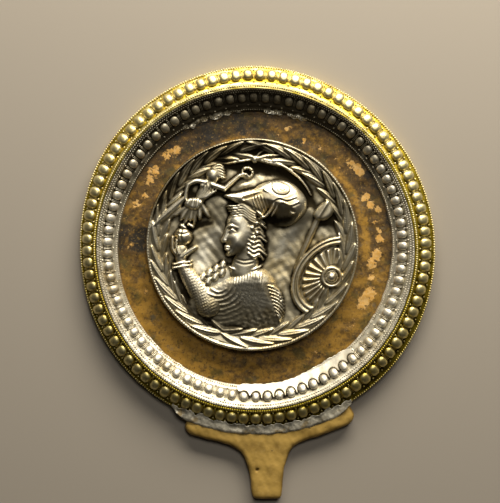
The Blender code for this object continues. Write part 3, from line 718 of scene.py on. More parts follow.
def noiseIn(tree, scale, detail=4.0, rough=0.6, stretch=None):
    place = put(tree, "ShaderNodeTexCoord").outputs["Object"]
    if stretch:
        place = put(tree, "ShaderNodeMapping", {"Vector": place, "Scale": stretch}).outputs["Vector"]
    inputs = {"Vector": place, "Scale": scale, "Detail": detail, "Roughness": rough}
    return put(tree, "ShaderNodeTexNoise", inputs).outputs["Fac"]


def ramped(tree, value, low, high):  # 0 below low, 1 above high
    inputs = {"Value": value, "From Min": low, "From Max": high}
    return put(tree, "ShaderNodeMapRange", inputs, interpolation_type="SMOOTHSTEP").outputs["Result"]


def maths(tree, operation, a, b=0.0):
    return put(tree, "ShaderNodeMath", {0: a, 1: b}, operation=operation).outputs[0]


def plus(tree, a, b):
    return maths(tree, "ADD", a, b)


def times(tree, a, b):
    return maths(tree, "MULTIPLY", a, b)


def mixed(tree, share, a, b):  # a and b are colours, or the sockets that give them
    a, b = ((*colour, 1.0) if isinstance(colour, tuple) else colour for colour in (a, b))
    return put(tree, "ShaderNodeMix", {0: share, 6: a, 7: b}, data_type="RGBA").outputs[2]


# A metal's dark and bright shares from its tone, which holds its tarnish and also the painted light and shade
# laid into it
def makeTarnishAndLightGroup():
    inputs = {"Tone": 0.5, "Patch Size": 300.0, "Patches": 0.4}
    tree, given, found = shaderGroup("tarnishAndLight", inputs, ("Dirt And Shade", "Shine And Light"))
    patches = maths(tree, "SUBTRACT", noiseIn(tree, given.outputs["Patch Size"]), 0.5)
    patches = times(tree, patches, given.outputs["Patches"])
    moved = plus(tree, given.outputs["Tone"], patches)
    dirtAndShade = maths(tree, "SUBTRACT", 1.0, ramped(tree, moved, 0.02, 0.46))
    tree.links.new(dirtAndShade, found.inputs["Dirt And Shade"])
    tree.links.new(ramped(tree, moved, 0.42, 0.85), found.inputs["Shine And Light"])
    return tree


def makeHandWorkGroup():
    inputs = {"Marks": 0.5, "Mark Size": 900.0, "Scratches": 0.3, "Pits": 0.4}
    tree, given, found = shaderGroup("hand_work", inputs, ("Height",))
    marks = times(tree, noiseIn(tree, given.outputs["Mark Size"], 5.0, 0.65), given.outputs["Marks"])
    streaks = noiseIn(tree, 900.0, 2.0, 0.5, (0.08, 1.0, 1.0))
    crossed = noiseIn(tree, 800.0, 2.0, 0.5, (1.0, 0.1, 1.0))
    scratches = times(tree, plus(tree, streaks, crossed), given.outputs["Scratches"])
    pits = ramped(tree, noiseIn(tree, 1500.0, 1.0, 0.5), 0.30, 0.42)
    pits = times(tree, pits, given.outputs["Pits"])
    total = plus(tree, plus(tree, marks, scratches), pits)
    tree.links.new(total, found.inputs["Height"])
    return tree


tarnishAndLightGroup = makeTarnishAndLightGroup()
handWorkGroup = makeHandWorkGroup()


def useGroup(tree, group, inputs):
    return put(tree, "ShaderNodeGroup", inputs, node_tree=group).outputs


def readValue(tree, name):
    return put(tree, "ShaderNodeAttribute", attribute_name=name).outputs["Fac"]


def newMaterial(name):
    material = bpy.data.materials.new(name)
    material.use_nodes = True
    return material, material.node_tree, material.node_tree.nodes["Principled BSDF"]


def feed(tree, shader, colour, rough, metallic):
    tree.links.new(colour, shader.inputs["Base Color"])
    tree.links.new(rough, shader.inputs["Roughness"])
    shader.inputs["Metallic"].default_value = metallic


def addBump(tree, shader, strength, distance, **marks):
    inputs = {name.replace("_", " ").title(): value for name, value in marks.items()}
    height = useGroup(tree, handWorkGroup, inputs)["Height"]
    bump = put(tree, "ShaderNodeBump", {"Height": height, "Strength": strength, "Distance": distance})
    tree.links.new(bump.outputs["Normal"], shader.inputs["Normal"])


metalStyle = {
    "workedSilver": {
        "bright": (0.86, 0.80, 0.64), "middle": (0.52, 0.465, 0.325), "dark": (0.060, 0.046, 0.024),
        "rough": (0.38, 0.66), "patchSize": 240.0, "patches": 0.60, "bump": 0.42, "metallic": 0.75,
        "stain": (0.50, 0.39, 0.19), "stained": 0.70,
    },
    "reliefSilver": {
        "bright": (0.86, 0.80, 0.63), "middle": (0.56, 0.49, 0.33), "dark": (0.030, 0.023, 0.012),
        "rough": (0.36, 0.62), "patchSize": 240.0, "patches": 0.60, "bump": 0.40, "metallic": 1.0,
        "stain": (0.50, 0.38, 0.17), "stained": 0.70,
    },
    "gilding": {
        "bright": (0.84, 0.74, 0.38), "middle": (0.57, 0.43, 0.032), "dark": (0.060, 0.042, 0.003),
        "rough": (0.35, 0.62), "patchSize": 300.0, "patches": 0.5, "bump": 0.25, "metallic": 0.90,
        "stain": (0.44, 0.29, 0.020), "stained": 0.5,
    },
}


def makeMetal(name):
    style = metalStyle[name]
    material, tree, shader = newMaterial(name)
    # the tone with the painted light and shade by clock added
    tarnishAndLight = useGroup(tree, tarnishAndLightGroup, {
        "Tone": plus(tree, readValue(tree, "tone"), readValue(tree, "paintedLightAndShade")),
        "Patch Size": style["patchSize"], "Patches": style["patches"],
    })
    colour = mixed(tree, tarnishAndLight["Shine And Light"], style["middle"], style["bright"])
    stain = ramped(tree, noiseIn(tree, 75.0, 6.0, 0.65), 0.48, 0.68)
    colour = mixed(tree, times(tree, stain, style["stained"]), colour, style["stain"])
    colour = mixed(tree, tarnishAndLight["Dirt And Shade"], colour, style["dark"])
    rough = put(tree, "ShaderNodeMapRange", {
        "Value": tarnishAndLight["Dirt And Shade"], "To Min": style["rough"][0], "To Max": style["rough"][1],
    })
    wear = times(tree, noiseIn(tree, 1400.0, 3.0), 0.14)
    feed(tree, shader, colour, plus(tree, rough.outputs["Result"], wear), style["metallic"])
    addBump(tree, shader, style["bump"], 0.00012, marks=0.6, scratches=0.25, pits=0.25)
    return material


patinaStyle = {
    "brown": (0.120, 0.064, 0.013), "golden": (0.42, 0.225, 0.026), "black": (0.024, 0.017, 0.008),
    "olive": (0.105, 0.080, 0.014), "grey": (0.150, 0.125, 0.078),
    "flake": (0.76, 0.41, 0.085), "paleFlake": (0.80, 0.50, 0.17), "flakeEdge": (0.10, 0.055, 0.015),
    "speck": (0.44, 0.27, 0.055),
}


def about(tree, value, scale, reach, detail=6.0):  # a painted value, broken up by noise
    cloud = maths(tree, "SUBTRACT", noiseIn(tree, scale, detail, 0.66), 0.5)
    return plus(tree, value, times(tree, cloud, reach))


def makePatina():
    style = patinaStyle
    material, tree, shader = newMaterial("platePatina")
    warm = ramped(tree, about(tree, readValue(tree, "warmth"), 310.0, 2.2, 9.0), 0.15, 0.80)
    grime = about(tree, readValue(tree, "grime"), 80.0, 1.3, 3.0)
    spread = about(tree, readValue(tree, "flaking"), 620.0, 1.5, 9.0)
    flake = ramped(tree, spread, 0.42, 0.56)
    flakeShade = ramped(tree, noiseIn(tree, 900.0, 4.0), 0.40, 0.62)
    colour = mixed(tree, warm, style["brown"], style["golden"])
    for mask, share, wash in (  # laid over one another, from the oldest to the newest
        (ramped(tree, noiseIn(tree, 130.0, 7.0), 0.52, 0.64), 0.75, style["olive"]),
        (ramped(tree, noiseIn(tree, 210.0, 6.0, 0.7), 0.56, 0.70), 0.6, style["grey"]),
        (ramped(tree, about(tree, grime, 380.0, 1.5, 8.0), 0.42, 0.95), 1.0, style["black"]),
        (ramped(tree, noiseIn(tree, 560.0, 7.0, 0.75), 0.52, 0.64), 0.75, style["black"]),
        (ramped(tree, spread, 0.32, 0.48), 0.7, style["flakeEdge"]),
        (flake, 1.0, mixed(tree, flakeShade, style["flake"], style["paleFlake"])),
        (ramped(tree, noiseIn(tree, 1100.0, 3.0), 0.56, 0.72), 0.6, style["speck"]),
    ):
        colour = mixed(tree, times(tree, mask, share), colour, wash)
    feed(tree, shader, colour, about(tree, 0.60, 500.0, 0.5, 4.0), 0.2)
    height = plus(tree, times(tree, flake, 0.8), noiseIn(tree, 700.0, 5.0, 0.7))
    bump = put(tree, "ShaderNodeBump", {"Height": height, "Strength": 0.5, "Distance": 0.00018})
    tree.links.new(bump.outputs["Normal"], shader.inputs["Normal"])
    return material


plainStyle = {  # colours, then the least roughness and how much is added to it, and metallic
    "polishedFace": {
        "clean": (0.78, 0.75, 0.68), "dulled": (0.42, 0.34, 0.22), "rough": (0.10, 0.30), "metallic": 1.0,
    },
    "dullSilver": {
        "dull": (0.28, 0.25, 0.18), "bright": (0.76, 0.70, 0.54), "ochre": (0.34, 0.24, 0.095),
        "rough": (0.36, 0.30), "metallic": 0.35,
    },
    "ochreCrust": {
        "dark": (0.22, 0.125, 0.016), "light": (0.66, 0.42, 0.095), "pale": (0.62, 0.42, 0.14),
        "spot": (0.09, 0.055, 0.02), "rough": (0.42, 0.3), "metallic": 0.25,
    },
    "paleFloor": {"colour": (0.42, 0.37, 0.30), "rough": 0.9, "size": 4.0},
}


def roughBy(tree, style, share):
    return plus(tree, style["rough"][0], times(tree, share, style["rough"][1]))


def makePolished():
    style = plainStyle["polishedFace"]
    material, tree, shader = newMaterial("polishedFace")
    cloud = noiseIn(tree, 60.0, 6.0, 0.65)
    colour = mixed(tree, ramped(tree, cloud, 0.5, 0.75), style["clean"], style["dulled"])
    feed(tree, shader, colour, roughBy(tree, style, ramped(tree, cloud, 0.4, 0.8)), style["metallic"])
    addBump(tree, shader, 0.15, 0.00005, marks=0.1, scratches=0.6, pits=0.2)
    return material


def makeDullSilver():
    style = plainStyle["dullSilver"]
    material, tree, shader = newMaterial("dullSilver")
    cloud = noiseIn(tree, 300.0, 6.0, 0.65)
    colour = mixed(tree, ramped(tree, cloud, 0.32, 0.62), style["dull"], style["bright"])
    ochre = ramped(tree, noiseIn(tree, 190.0, 4.0), 0.56, 0.66)
    colour = mixed(tree, times(tree, ochre, 0.8), colour, style["ochre"])
    feed(tree, shader, colour, roughBy(tree, style, cloud), style["metallic"])
    addBump(tree, shader, 0.35, 0.00015, marks=0.8, scratches=0.3, pits=0.4)
    return material


def makeOchre():
    style = plainStyle["ochreCrust"]
    material, tree, shader = newMaterial("ochreCrust")
    # the tone holds the painted shade on the bracket's sides and in its pinhole
    cloud = about(tree, readValue(tree, "tone"), 120.0, 0.9)
    fine = noiseIn(tree, 900.0, 5.0, 0.7)
    spots = ramped(tree, noiseIn(tree, 520.0, 3.0), 0.68, 0.76)
    colour = mixed(tree, ramped(tree, cloud, 0.15, 0.80), style["dark"], style["light"])
    colour = mixed(tree, times(tree, ramped(tree, fine, 0.52, 0.75), 0.5), colour, style["pale"])
    colour = mixed(tree, times(tree, spots, 0.8), colour, style["spot"])
    feed(tree, shader, colour, roughBy(tree, style, fine), style["metallic"])
    addBump(tree, shader, 0.14, 0.00012, marks=0.8, scratches=0.5, pits=0.3)
    return material


def makeFloor():
    style = plainStyle["paleFloor"]
    material, tree, shader = newMaterial("paleFloor")
    shader.inputs["Base Color"].default_value = (*style["colour"], 1)
    shader.inputs["Roughness"].default_value = style["rough"]
    half, height = style["size"] / 2, -0.1 * mm
    corners = [(x * half, y * half, height) for x, y in ((-1, -1), (1, -1), (1, 1), (-1, 1))]
    newPiece("floor", meshFrom("floor", corners, [(0, 1, 2, 3)]), material)


# Rows round the mirror. The real rims are uneven, so each row gives its radius at every 30 degrees,
# clockwise from the top

rowsMm = {
    "giltEdge": (70.6, 69.1, 68.8, 69.3, 70.1, 70.6, 70.7, 70.6, 69.9, 69.3, 70.6, 70.7),
    "giltBeads": (67.0, 65.7, 64.7, 65.2, 65.4, 66.0, 66.6, 66.6, 66.3, 66.1, 66.9, 67.0),
    "ridge": (61.6, 60.7, 60.3, 61.0, 61.5, 62.1, 63.1, 63.2, 62.9, 62.7, 62.4, 62.6),
    "silverBeads": (58.5, 57.7, 57.1, 56.6, 56.9, 57.7, 58.6, 58.4, 58.5, 58.6, 58.5, 59.0),
    "silverEdge": (53.1, 53.2, 52.8, 52.7, 52.8, 52.9, 54.0, 55.2, 55.0, 54.7, 54.1, 54.1),
}


def roundClock(values, turn):  # a smooth value between the ones given at every 30 degrees
    clock = (np.degrees(math.pi / 2 - np.asarray(turn, float)) % 360) / 30
    first = np.floor(clock).astype(int)
    given = np.array(values, float)
    return smoothBetween(*(given[(first + k) % 12] for k in (-1, 0, 1, 2)), clock - first)


def rowRadius(row, turn):
    return roundClock(rowsMm[row], turn)


def clockTurn(clock):  # an angle read like a clock's, in degrees from the top, as a turn from +X
    return math.radians(90 - clock)


def window(turn, fromClock, toClock, soften=6.0):  # 1 between two clock angles, 0 away from them
    clock = np.degrees(math.pi / 2 - turn) % 360
    return np.clip((clock - fromClock) / soften, 0, 1) * np.clip((toClock - clock) / soften, 0, 1)


# A rim's profile across its slope: place from -1 at its outer row over 0 at the beads to 1 at its
# inner row, height, and tone from dirty to bright

giltProfileMm = (
    (-1.00, 2.70, 0.55), (-0.97, 3.25, 0.80), (-0.90, 3.45, 0.60), (-0.80, 3.55, 0.45), (-0.62, 3.85, 0.45),
    (-0.40, 4.35, 0.24), (0.0, 5.00, 0.16), (0.40, 5.95, 0.24), (0.55, 6.50, 0.42),
    (0.68, 6.80, 0.62), (0.80, 6.95, 0.60), (0.88, 7.25, 0.55), (1.00, 7.40, 0.50),
)
silverProfileMm = (
    (-1.00, 7.35, 0.45), (-0.90, 7.25, 0.50), (-0.72, 6.80, 0.55), (-0.56, 6.45, 0.60), (-0.48, 6.05, 0.45),
    (-0.36, 5.60, 0.18), (0.0, 4.60, 0.08), (0.36, 3.85, 0.18), (0.48, 3.75, 0.45), (0.58, 3.60, 0.55),
    (0.70, 3.30, 0.50), (0.80, 3.15, 0.55), (0.92, 2.85, 0.50), (1.00, 2.45, 0.60),
)
giltRimSeatMm = {"height": 2.1, "radius": 66.3}  # where the plate lies in the rims' underside
paintedLightAndShadeByClock = {  # painted light and shade: how much brighter or darker a rim is at every 30 degrees, clockwise from the top, as its slopes face the light or turn away from it
    "gilt": (0.12, 0.06, -0.08, -0.20, -0.26, -0.30, -0.28, -0.26, -0.24, -0.16, 0.02, 0.12),
    "silver": (-0.80, -0.66, -0.26, 0.06, 0.16, 0.12, 0.10, 0.18, 0.22, 0.02, -0.34, -0.66),
}
giltRows = ("giltEdge", "giltBeads", "ridge")
silverRows = ("ridge", "silverBeads", "silverEdge")

sheetStyleMm = {"dent": 0.07, "fineDent": 0.03, "tornHeight": 2.55, "tornWave": 0.25, "flapPaintedShadow": 0.7}
tearsMm = (  # clock angles from and to, how far the sheet's torn edge reaches into the field
    (0, 24, 1.1), (326, 354, 1.2), (205, 238, 0.30), (60, 84, 0.25), (92, 134, 0.25),
)


def tornReach(turn):
    reach = np.zeros(np.shape(turn))
    for fromClock, toClock, depth in tearsMm:
        ragged = 0.55 + 0.30 * np.sin(turn * 31) + 0.25 * np.sin(turn * 67 + 1.3) + 0.15 * np.sin(turn * 113)
        reach += depth * window(turn, fromClock, toClock) * np.clip(ragged, 0, 1.3)
    return reach


def acrossRadius(rows, place, turn):
    outer, middle, inner = (rowRadius(row, turn) for row in rows)
    if rows is silverRows:
        outer = outer - 0.12
        inner = inner - tornReach(turn)
    else:
        inner = inner + 0.12
    return np.where(place < 0, middle + (outer - middle) * -place, middle + (inner - middle) * place)


def acrossHeight(profile, place):
    return np.interp(place, [row[0] for row in profile], [row[1] for row in profile])


def turnedRim(name, rows, profile, foot, paintedLightAndShade, seed, stations=720):
    style = sheetStyleMm
    turn = np.linspace(0, 2 * math.pi, stations, endpoint=False)
    paintedLightAndShade = roundClock(paintedLightAndShade, turn)
    tear = tornReach(turn) * (rows is silverRows)
    # where the folded flap lies, which gets a painted shadow on the sheet beneath it
    flapShadowShare = window(turn, 139, 187, 3.0) * (rows is silverRows)
    loops = []
    for place, height, tone in smoothPath(profile, steps=4):
        radius = acrossRadius(rows, place, turn)
        x, y = radius * np.cos(turn), radius * np.sin(turn)
        dent = style["dent"] * ripples(x, y, 11.0, seed) + style["fineDent"] * ripples(x, y, 3.0, seed + 1)
        flat = fade(place, 0.55, 0.90) * np.clip(tear / 0.6, 0, 1)  # torn places lie flat on the field
        torn = style["tornHeight"] + style["tornWave"] * ripples(x, y, 2.2, seed + 2)
        height = height * (1 - flat) + torn * flat
        tone = tone + (0.35 + 0.3 * ripples(x, y, 2.0, seed + 3)) * flat
        # painted shadow under the folded flap, along the bead row
        tone = tone - style["flapPaintedShadow"] * flapShadowShare * math.exp(-(((place - 0.42) / 0.22) ** 2))
        # painted light and shade by clock, left off where the torn sheet lies flat
        tone = tone + paintedLightAndShade * (1 - flat) + 0.05 * ripples(x, y, 5.0, seed + 4)
        loops.append((x, y, height + dent * (1 - 0.5 * flat), tone))
    for place, radius, height in foot:  # the hidden underside
        radius = acrossRadius(rows, place, turn) if radius is None else radius
        loops.append((radius * np.cos(turn), radius * np.sin(turn), height, 0.35))
    grid = np.stack([np.stack(np.broadcast_arrays(*loop), axis=1) for loop in loops], axis=1)
    count = len(loops)
    faces = []
    for station in range(stations):
        here, ahead = station * count, (station + 1) % stations * count
        for k in range(count):
            after = (k + 1) % count
            faces.append((here + k, ahead + k, ahead + after, here + after))
    mesh = meshFrom(name, grid[:, :, :3].reshape(-1, 3) * mm, faces)
    paintValue(mesh, "tone", grid[:, :, 3])
    mesh.set_sharp_from_angle(angle=math.radians(60))
    return mesh


# Beads, bars, knobs and pearls: a rounded form is set on each point of a row, turned by the point's aim

rowInputs = (
    ("Length", 0.003), ("Width", 0.0034), ("Height", 0.0028), ("Unevenness", 0.05), ("Squareness", 0.3),
    ("Sides", 12), ("Rings", 8), ("Seed", 1),
)


def makeRowTree():
    tree = bpy.data.node_groups.new("beaded_row", "GeometryNodeTree")
    tree.is_modifier = True
    tree.interface.new_socket(name="Geometry", in_out="INPUT", socket_type="NodeSocketGeometry")
    for label, value in rowInputs:
        kind = "NodeSocketInt" if isinstance(value, int) else "NodeSocketFloat"
        tree.interface.new_socket(name=label, in_out="INPUT", socket_type=kind).default_value = value
    tree.interface.new_socket(name="Metal", in_out="INPUT", socket_type="NodeSocketMaterial")
    tree.interface.new_socket(name="Geometry", in_out="OUTPUT", socket_type="NodeSocketGeometry")
    given = tree.nodes.new("NodeGroupInput").outputs

    # the bead: a ball, drawn towards a box by its squareness, bright on top and dark at its foot
    ball = put(tree, "GeometryNodeMeshUVSphere", {
        "Segments": given["Sides"], "Rings": given["Rings"], "Radius": 0.5,
    })
    place = put(tree, "GeometryNodeInputPosition")
    up = put(tree, "ShaderNodeSeparateXYZ", {"Vector": place}).outputs["Z"]
    tone = put(tree, "ShaderNodeMapRange", {"Value": up, "From Min": 0.02, "From Max": 0.34, "To Min": 0.42})
    size = put(tree, "ShaderNodeVectorMath", {0: place}, operation="ABSOLUTE")
    reach = put(tree, "ShaderNodeSeparateXYZ", {"Vector": size}).outputs
    widest = maths(tree, "MAXIMUM", maths(tree, "MAXIMUM", reach["X"], reach["Y"]), reach["Z"])
    squarer = maths(tree, "DIVIDE", 0.5, widest)
    factor = put(tree, "ShaderNodeMix", {0: given["Squareness"], 2: 1.0, 3: squarer})
    fuller = put(tree, "ShaderNodeVectorMath", {0: place, "Scale": factor}, operation="SCALE")
    toned = put(tree, "GeometryNodeStoreNamedAttribute", {
        "Geometry": ball, "Name": "tone", "Value": tone,
    }, data_type="FLOAT", domain="POINT")
    shaped = put(tree, "GeometryNodeSetPosition", {"Geometry": toned, "Position": fuller})
    full = put(tree, "ShaderNodeCombineXYZ", {
        "X": given["Width"], "Y": given["Length"], "Z": given["Height"],
    })
    bead = put(tree, "GeometryNodeTransform", {"Geometry": shaped, "Scale": full})

    # one on each point, turned by the point's aim and a little larger or smaller
    aim = put(tree, "GeometryNodeInputNamedAttribute", {"Name": "aim"}, data_type="FLOAT_VECTOR")
    turned = put(tree, "FunctionNodeEulerToRotation", {"Euler": aim})
    jitter = put(tree, "FunctionNodeRandomValue", {
        "Min": maths(tree, "SUBTRACT", 1.0, given["Unevenness"]), "Max": plus(tree, 1.0, given["Unevenness"]),
        "Seed": given["Seed"],
    }, data_type="FLOAT_VECTOR")
    row = put(tree, "GeometryNodeInstanceOnPoints", {
        "Points": given["Geometry"], "Instance": bead, "Rotation": turned, "Scale": jitter,
    })
    real = put(tree, "GeometryNodeRealizeInstances", {"Geometry": row})
    smooth = put(tree, "GeometryNodeSetShadeSmooth", {"Geometry": real})
    metal = put(tree, "GeometryNodeSetMaterial", {"Geometry": smooth, "Material": given["Metal"]})
    put(tree, "NodeGroupOutput", {"Geometry": metal})
    return tree


rowTree = makeRowTree()


def setOnSlope(row, rows, profile, place, turns, lift):  # adds each point and its aim to a row
    reach = 0.05
    for turn in turns:
        low = acrossRadius(rows, place - reach, turn), acrossHeight(profile, place - reach)
        high = acrossRadius(rows, place + reach, turn), acrossHeight(profile, place + reach)
        slope = math.atan2(high[1] - low[1], high[0] - low[0])
        if math.cos(slope) < 0:
            slope += math.pi
        radius = float(acrossRadius(rows, place, turn)) - lift * math.sin(slope)
        height = float(acrossHeight(profile, place)) + lift * math.cos(slope)
        point = (radius * math.cos(turn) * mm, radius * math.sin(turn) * mm, height * mm)
        row.append((point, (Matrix.Rotation(turn, 3, "Z") @ Matrix.Rotation(-slope, 3, "Y")).to_euler()))


def beadedRow(name, row, style, paintedLightAndShade, metal, seed):
    mesh = meshFrom(name, [point for point, aim in row], [])
    layer = mesh.attributes.new("aim", "FLOAT_VECTOR", "POINT")
    layer.data.foreach_set("vector", np.array([tuple(aim) for point, aim in row], dtype=np.float32).ravel())
    # each bead takes the same painted light and shade by clock as its rim
    paintValue(mesh, "paintedLightAndShade", [float(roundClock(paintedLightAndShade, math.atan2(point[1], point[0]))) for point, aim in row])
    carrier = newPiece(name + "Row", mesh, metal)
    modifier = carrier.modifiers.new("beads", "NODES")
    modifier.node_group = rowTree
    length, width, height = style["size"]
    values = {
        "Length": length * mm, "Width": width * mm, "Height": height * mm,
        "Unevenness": style["uneven"], "Squareness": style["square"],
        "Sides": style["sides"], "Rings": style["rings"], "Seed": seed, "Metal": metal,
    }
    for item in rowTree.interface.items_tree:
        if item.in_out == "INPUT" and item.name in values:
            modifier[item.identifier] = values[item.name]
    piece = bpy.data.objects.new(name, plainMesh(carrier, name))
    bpy.context.scene.collection.objects.link(piece)
    return piece


giltStyleMm = {  # a size is the length along the row, the width across it and the height
    "rows": giltRows, "profile": giltProfileMm, "seed": 100, "count": 90, "start": 1.3,
    "bead": {"size": (4.08, 4.95, 3.8), "uneven": 0.05, "square": 0.42, "sides": 12, "rings": 7},
    "bar": {"size": (0.36, 4.1, 1.3), "uneven": 0.06, "square": 0.00, "sides": 8, "rings": 6},
    "knob": {"size": (0.85, 0.75, 0.9), "uneven": 0.10, "square": 0.00, "sides": 8, "rings": 6},
    "pearl": {"size": (0.86, 1.00, 1.0), "uneven": 0.10, "square": 0.00, "sides": 8, "rings": 5},
    "barGap": 0.46, "knobPlaces": (-0.52, 0.54), "pearlsPerBead": 5, "pearlPlaces": (-0.92, 0.84),
    "covered": (0.0, 0.0),
}
silverStyleMm = {
    "rows": silverRows, "profile": silverProfileMm, "seed": 200, "count": 79, "start": 0.4,
    "bead": {"size": (3.45, 4.2, 3.3), "uneven": 0.06, "square": 0.42, "sides": 12, "rings": 7},
    "bar": {"size": (0.40, 4.3, 1.3), "uneven": 0.06, "square": 0.00, "sides": 8, "rings": 6},
    "knob": {"size": (0.80, 0.72, 0.9), "uneven": 0.12, "square": 0.00, "sides": 8, "rings": 6},
    "pearl": {"size": (0.66, 0.66, 0.7), "uneven": 0.12, "square": 0.00, "sides": 6, "rings": 5},
    "barGap": 0.50, "knobPlaces": (-0.52, 0.54), "pearlsPerBead": 5, "pearlPlaces": (-0.90, -0.68, 0.86),
    "covered": (138.0, 188.0),  # the clock angles where the folded sheet hides bars, knobs and inner pearls
}


def addRim(prefix, style, foot, metal, slotName, node):
    rows, profile, paintedLightAndShade, seed = style["rows"], style["profile"], paintedLightAndShadeByClock[prefix], style["seed"]
    sheet = newPiece(prefix + "Sheet", turnedRim(prefix + "Sheet", rows, profile, foot, paintedLightAndShade, seed), metal)
    finishPiece(sheet, slotName, node)
    pitch = 2 * math.pi / style["count"]
    beadTurns = [math.radians(style["start"]) + pitch * k for k in range(style["count"])]
    halfGap = style["barGap"] / 2 / np.mean(rowsMm[rows[1]])

    def bare(turns):  # without the ones that the folded sheet hides
        return [turn for turn in turns if window(turn, *style["covered"], 0.5) == 0]

    made = {"bead": [], "bar": [], "knob": [], "pearl": []}
    between = bare([turn + pitch / 2 for turn in beadTurns])
    setOnSlope(made["bead"], rows, profile, 0.0, beadTurns, -0.15)
    for side in (-1, 1):
        setOnSlope(made["bar"], rows, profile, 0.0, [turn + side * halfGap for turn in between], 0.15)
    for place in style["knobPlaces"]:
        setOnSlope(made["knob"], rows, profile, place, between, 0.12)
    pearlPitch = pitch / style["pearlsPerBead"]
    for line, place in enumerate(style["pearlPlaces"]):
        turns = [pearlPitch * (k + 0.5 * line) for k in range(style["count"] * style["pearlsPerBead"])]
        setOnSlope(made["pearl"], rows, profile, place, bare(turns) if place > 0 else turns, 0.10)
    for step, kind in enumerate(made):
        piece = beadedRow(prefix + kind.title() + "s", made[kind], style[kind], paintedLightAndShade, metal, seed + step)
        finishPiece(piece, slotName)
    print(prefix, "rim made")


medallionStyleMm = {"cells": 308, "ground": 3.3, "rise": 0.46, "tone": 0.47, "toneGain": 0.22}


def makeMedallion(metal):
    style = medallionStyleMm
    cells = style["cells"]
    count = cells + 1
    line = np.linspace(-1, 1, count)
    x, y = np.meshgrid(line, line)
    u, v = 100 * x * np.sqrt(1 - y**2 / 2), 100 * y * np.sqrt(1 - x**2 / 2)  # a square drawn out to a disc
    height = relief((u, v))
    hollow = height - softened(height, 4, 2)
    # darker in the hollows and brighter higher up, then the painted shade and painted light of the listed
    # paths
    tone = style["tone"] + hollow * style["toneGain"] + 0.018 * (height - 5) - paintedShadeAndLight((u, v))
    low, high = medallionBox
    radius, seat = (high[0] - low[0]) / 2, low[2]
    centreX, centreY = (high[0] + low[0]) / 2, (high[1] + low[1]) / 2
    z = style["ground"] * mm + height * style["rise"] * mm
    flat = np.stack([centreX + u * radius / 100, centreY + v * radius / 100, z], axis=2).reshape(-1, 3)
    faces = gridFaces(cells, cells)
    border = list(range(cells)) + [r * count + cells for r in range(cells)]
    border += [cells * count + c for c in range(cells, 0, -1)] + [r * count for r in range(cells, 0, -1)]
    foot = flat[border] * (1, 1, 0) + (0, 0, seat)
    first, around = len(flat), len(border)
    for k in range(around):
        after = (k + 1) % around
        faces.append((border[after], border[k], first + k, first + after))
    faces.append([first + k for k in range(around)][::-1])
    mesh = meshFrom("medallionRelief", np.concatenate([flat, foot]), faces)
    paintValue(mesh, "tone", np.concatenate([tone.ravel(), np.full(around, 0.3)]))
    mesh.polygons[len(mesh.polygons) - 1].use_smooth = False
    finishPiece(newPiece("medallionRelief", mesh, metal), "worked_silver", "medallion")
    print("medallion made,", len(mesh.polygons), "faces, peak", round(float(height.max()), 2))


flakesMm = (  # ochre patches on the field: clock angle, radius, length round the mirror, width, strength
    (14.4, 48.0, 2.0, 1.3, 0.58), (23.4, 45.2, 1.4, 1.4, 0.53), (31.7, 45.5, 1.3, 1.8, 0.50),
    (34.6, 47.6, 1.2, 1.6, 0.38), (40.5, 50.3, 1.3, 1.8, 0.44), (41.8, 46.8, 0.9, 1.8, 0.42),
    (45.9, 45.0, 1.2, 0.8, 0.50), (48.5, 49.0, 2.6, 1.8, 0.63), (52.5, 49.8, 3.0, 2.1, 0.74),
    (65.4, 46.8, 1.8, 2.1, 0.72), (69.6, 47.4, 2.0, 1.7, 0.72), (72.8, 49.5, 1.5, 1.5, 0.70),
    (77.9, 47.3, 1.0, 1.4, 0.62), (82.4, 48.0, 1.6, 1.2, 0.64), (86.2, 48.0, 1.7, 1.9, 0.70),
    (94.0, 46.8, 2.6, 2.0, 0.74), (97.8, 45.2, 2.8, 1.9, 0.74), (104.7, 46.0, 2.8, 1.5, 0.58),
    (112.8, 47.4, 3.3, 2.5, 0.72), (117.5, 47.0, 3.3, 2.5, 0.72), (128.8, 48.0, 4.4, 2.0, 0.38),
    (151.0, 47.0, 2.0, 1.1, 0.44), (218.4, 48.5, 0.9, 1.2, 0.42), (247.7, 47.2, 1.6, 1.2, 0.50),
    (270.5, 49.6, 1.8, 1.9, 0.42), (289.5, 50.6, 1.8, 1.8, 0.58), (294.5, 48.6, 1.4, 1.8, 0.58),
    (302.0, 50.0, 3.0, 2.0, 0.60), (306.0, 50.2, 2.6, 2.6, 0.60), (316.0, 50.6, 2.6, 2.4, 0.58),
    (320.0, 49.4, 3.0, 2.0, 0.62), (345.0, 48.8, 4.0, 0.9, 0.34), (10.0, 44.6, 1.8, 0.8, 0.38),
)
fieldTones = {  # at every 30 degrees, clockwise from the top
    "warmth": (0.20, 0.30, 0.15, 0.30, 0.62, 0.48, 0.42, 0.70, 0.68, 0.36, 0.30, 0.12),
    "grime": (0.66, 0.46, 0.62, 0.48, 0.18, 0.26, 0.28, 0.06, 0.05, 0.46, 0.46, 0.76),
}
plateStyleMm = {
    "stations": 420, "fieldFrom": 39.0, "fieldTo": 56.0, "ringStep": 0.6, "dent": 0.10,
    "glowAt": 42.6, "glow": 0.55, "cleaned": 0.60,  # the bright, clean ring beside the medallion
    "rimDirtAt": 53.0, "rimDirt": 0.25,
}


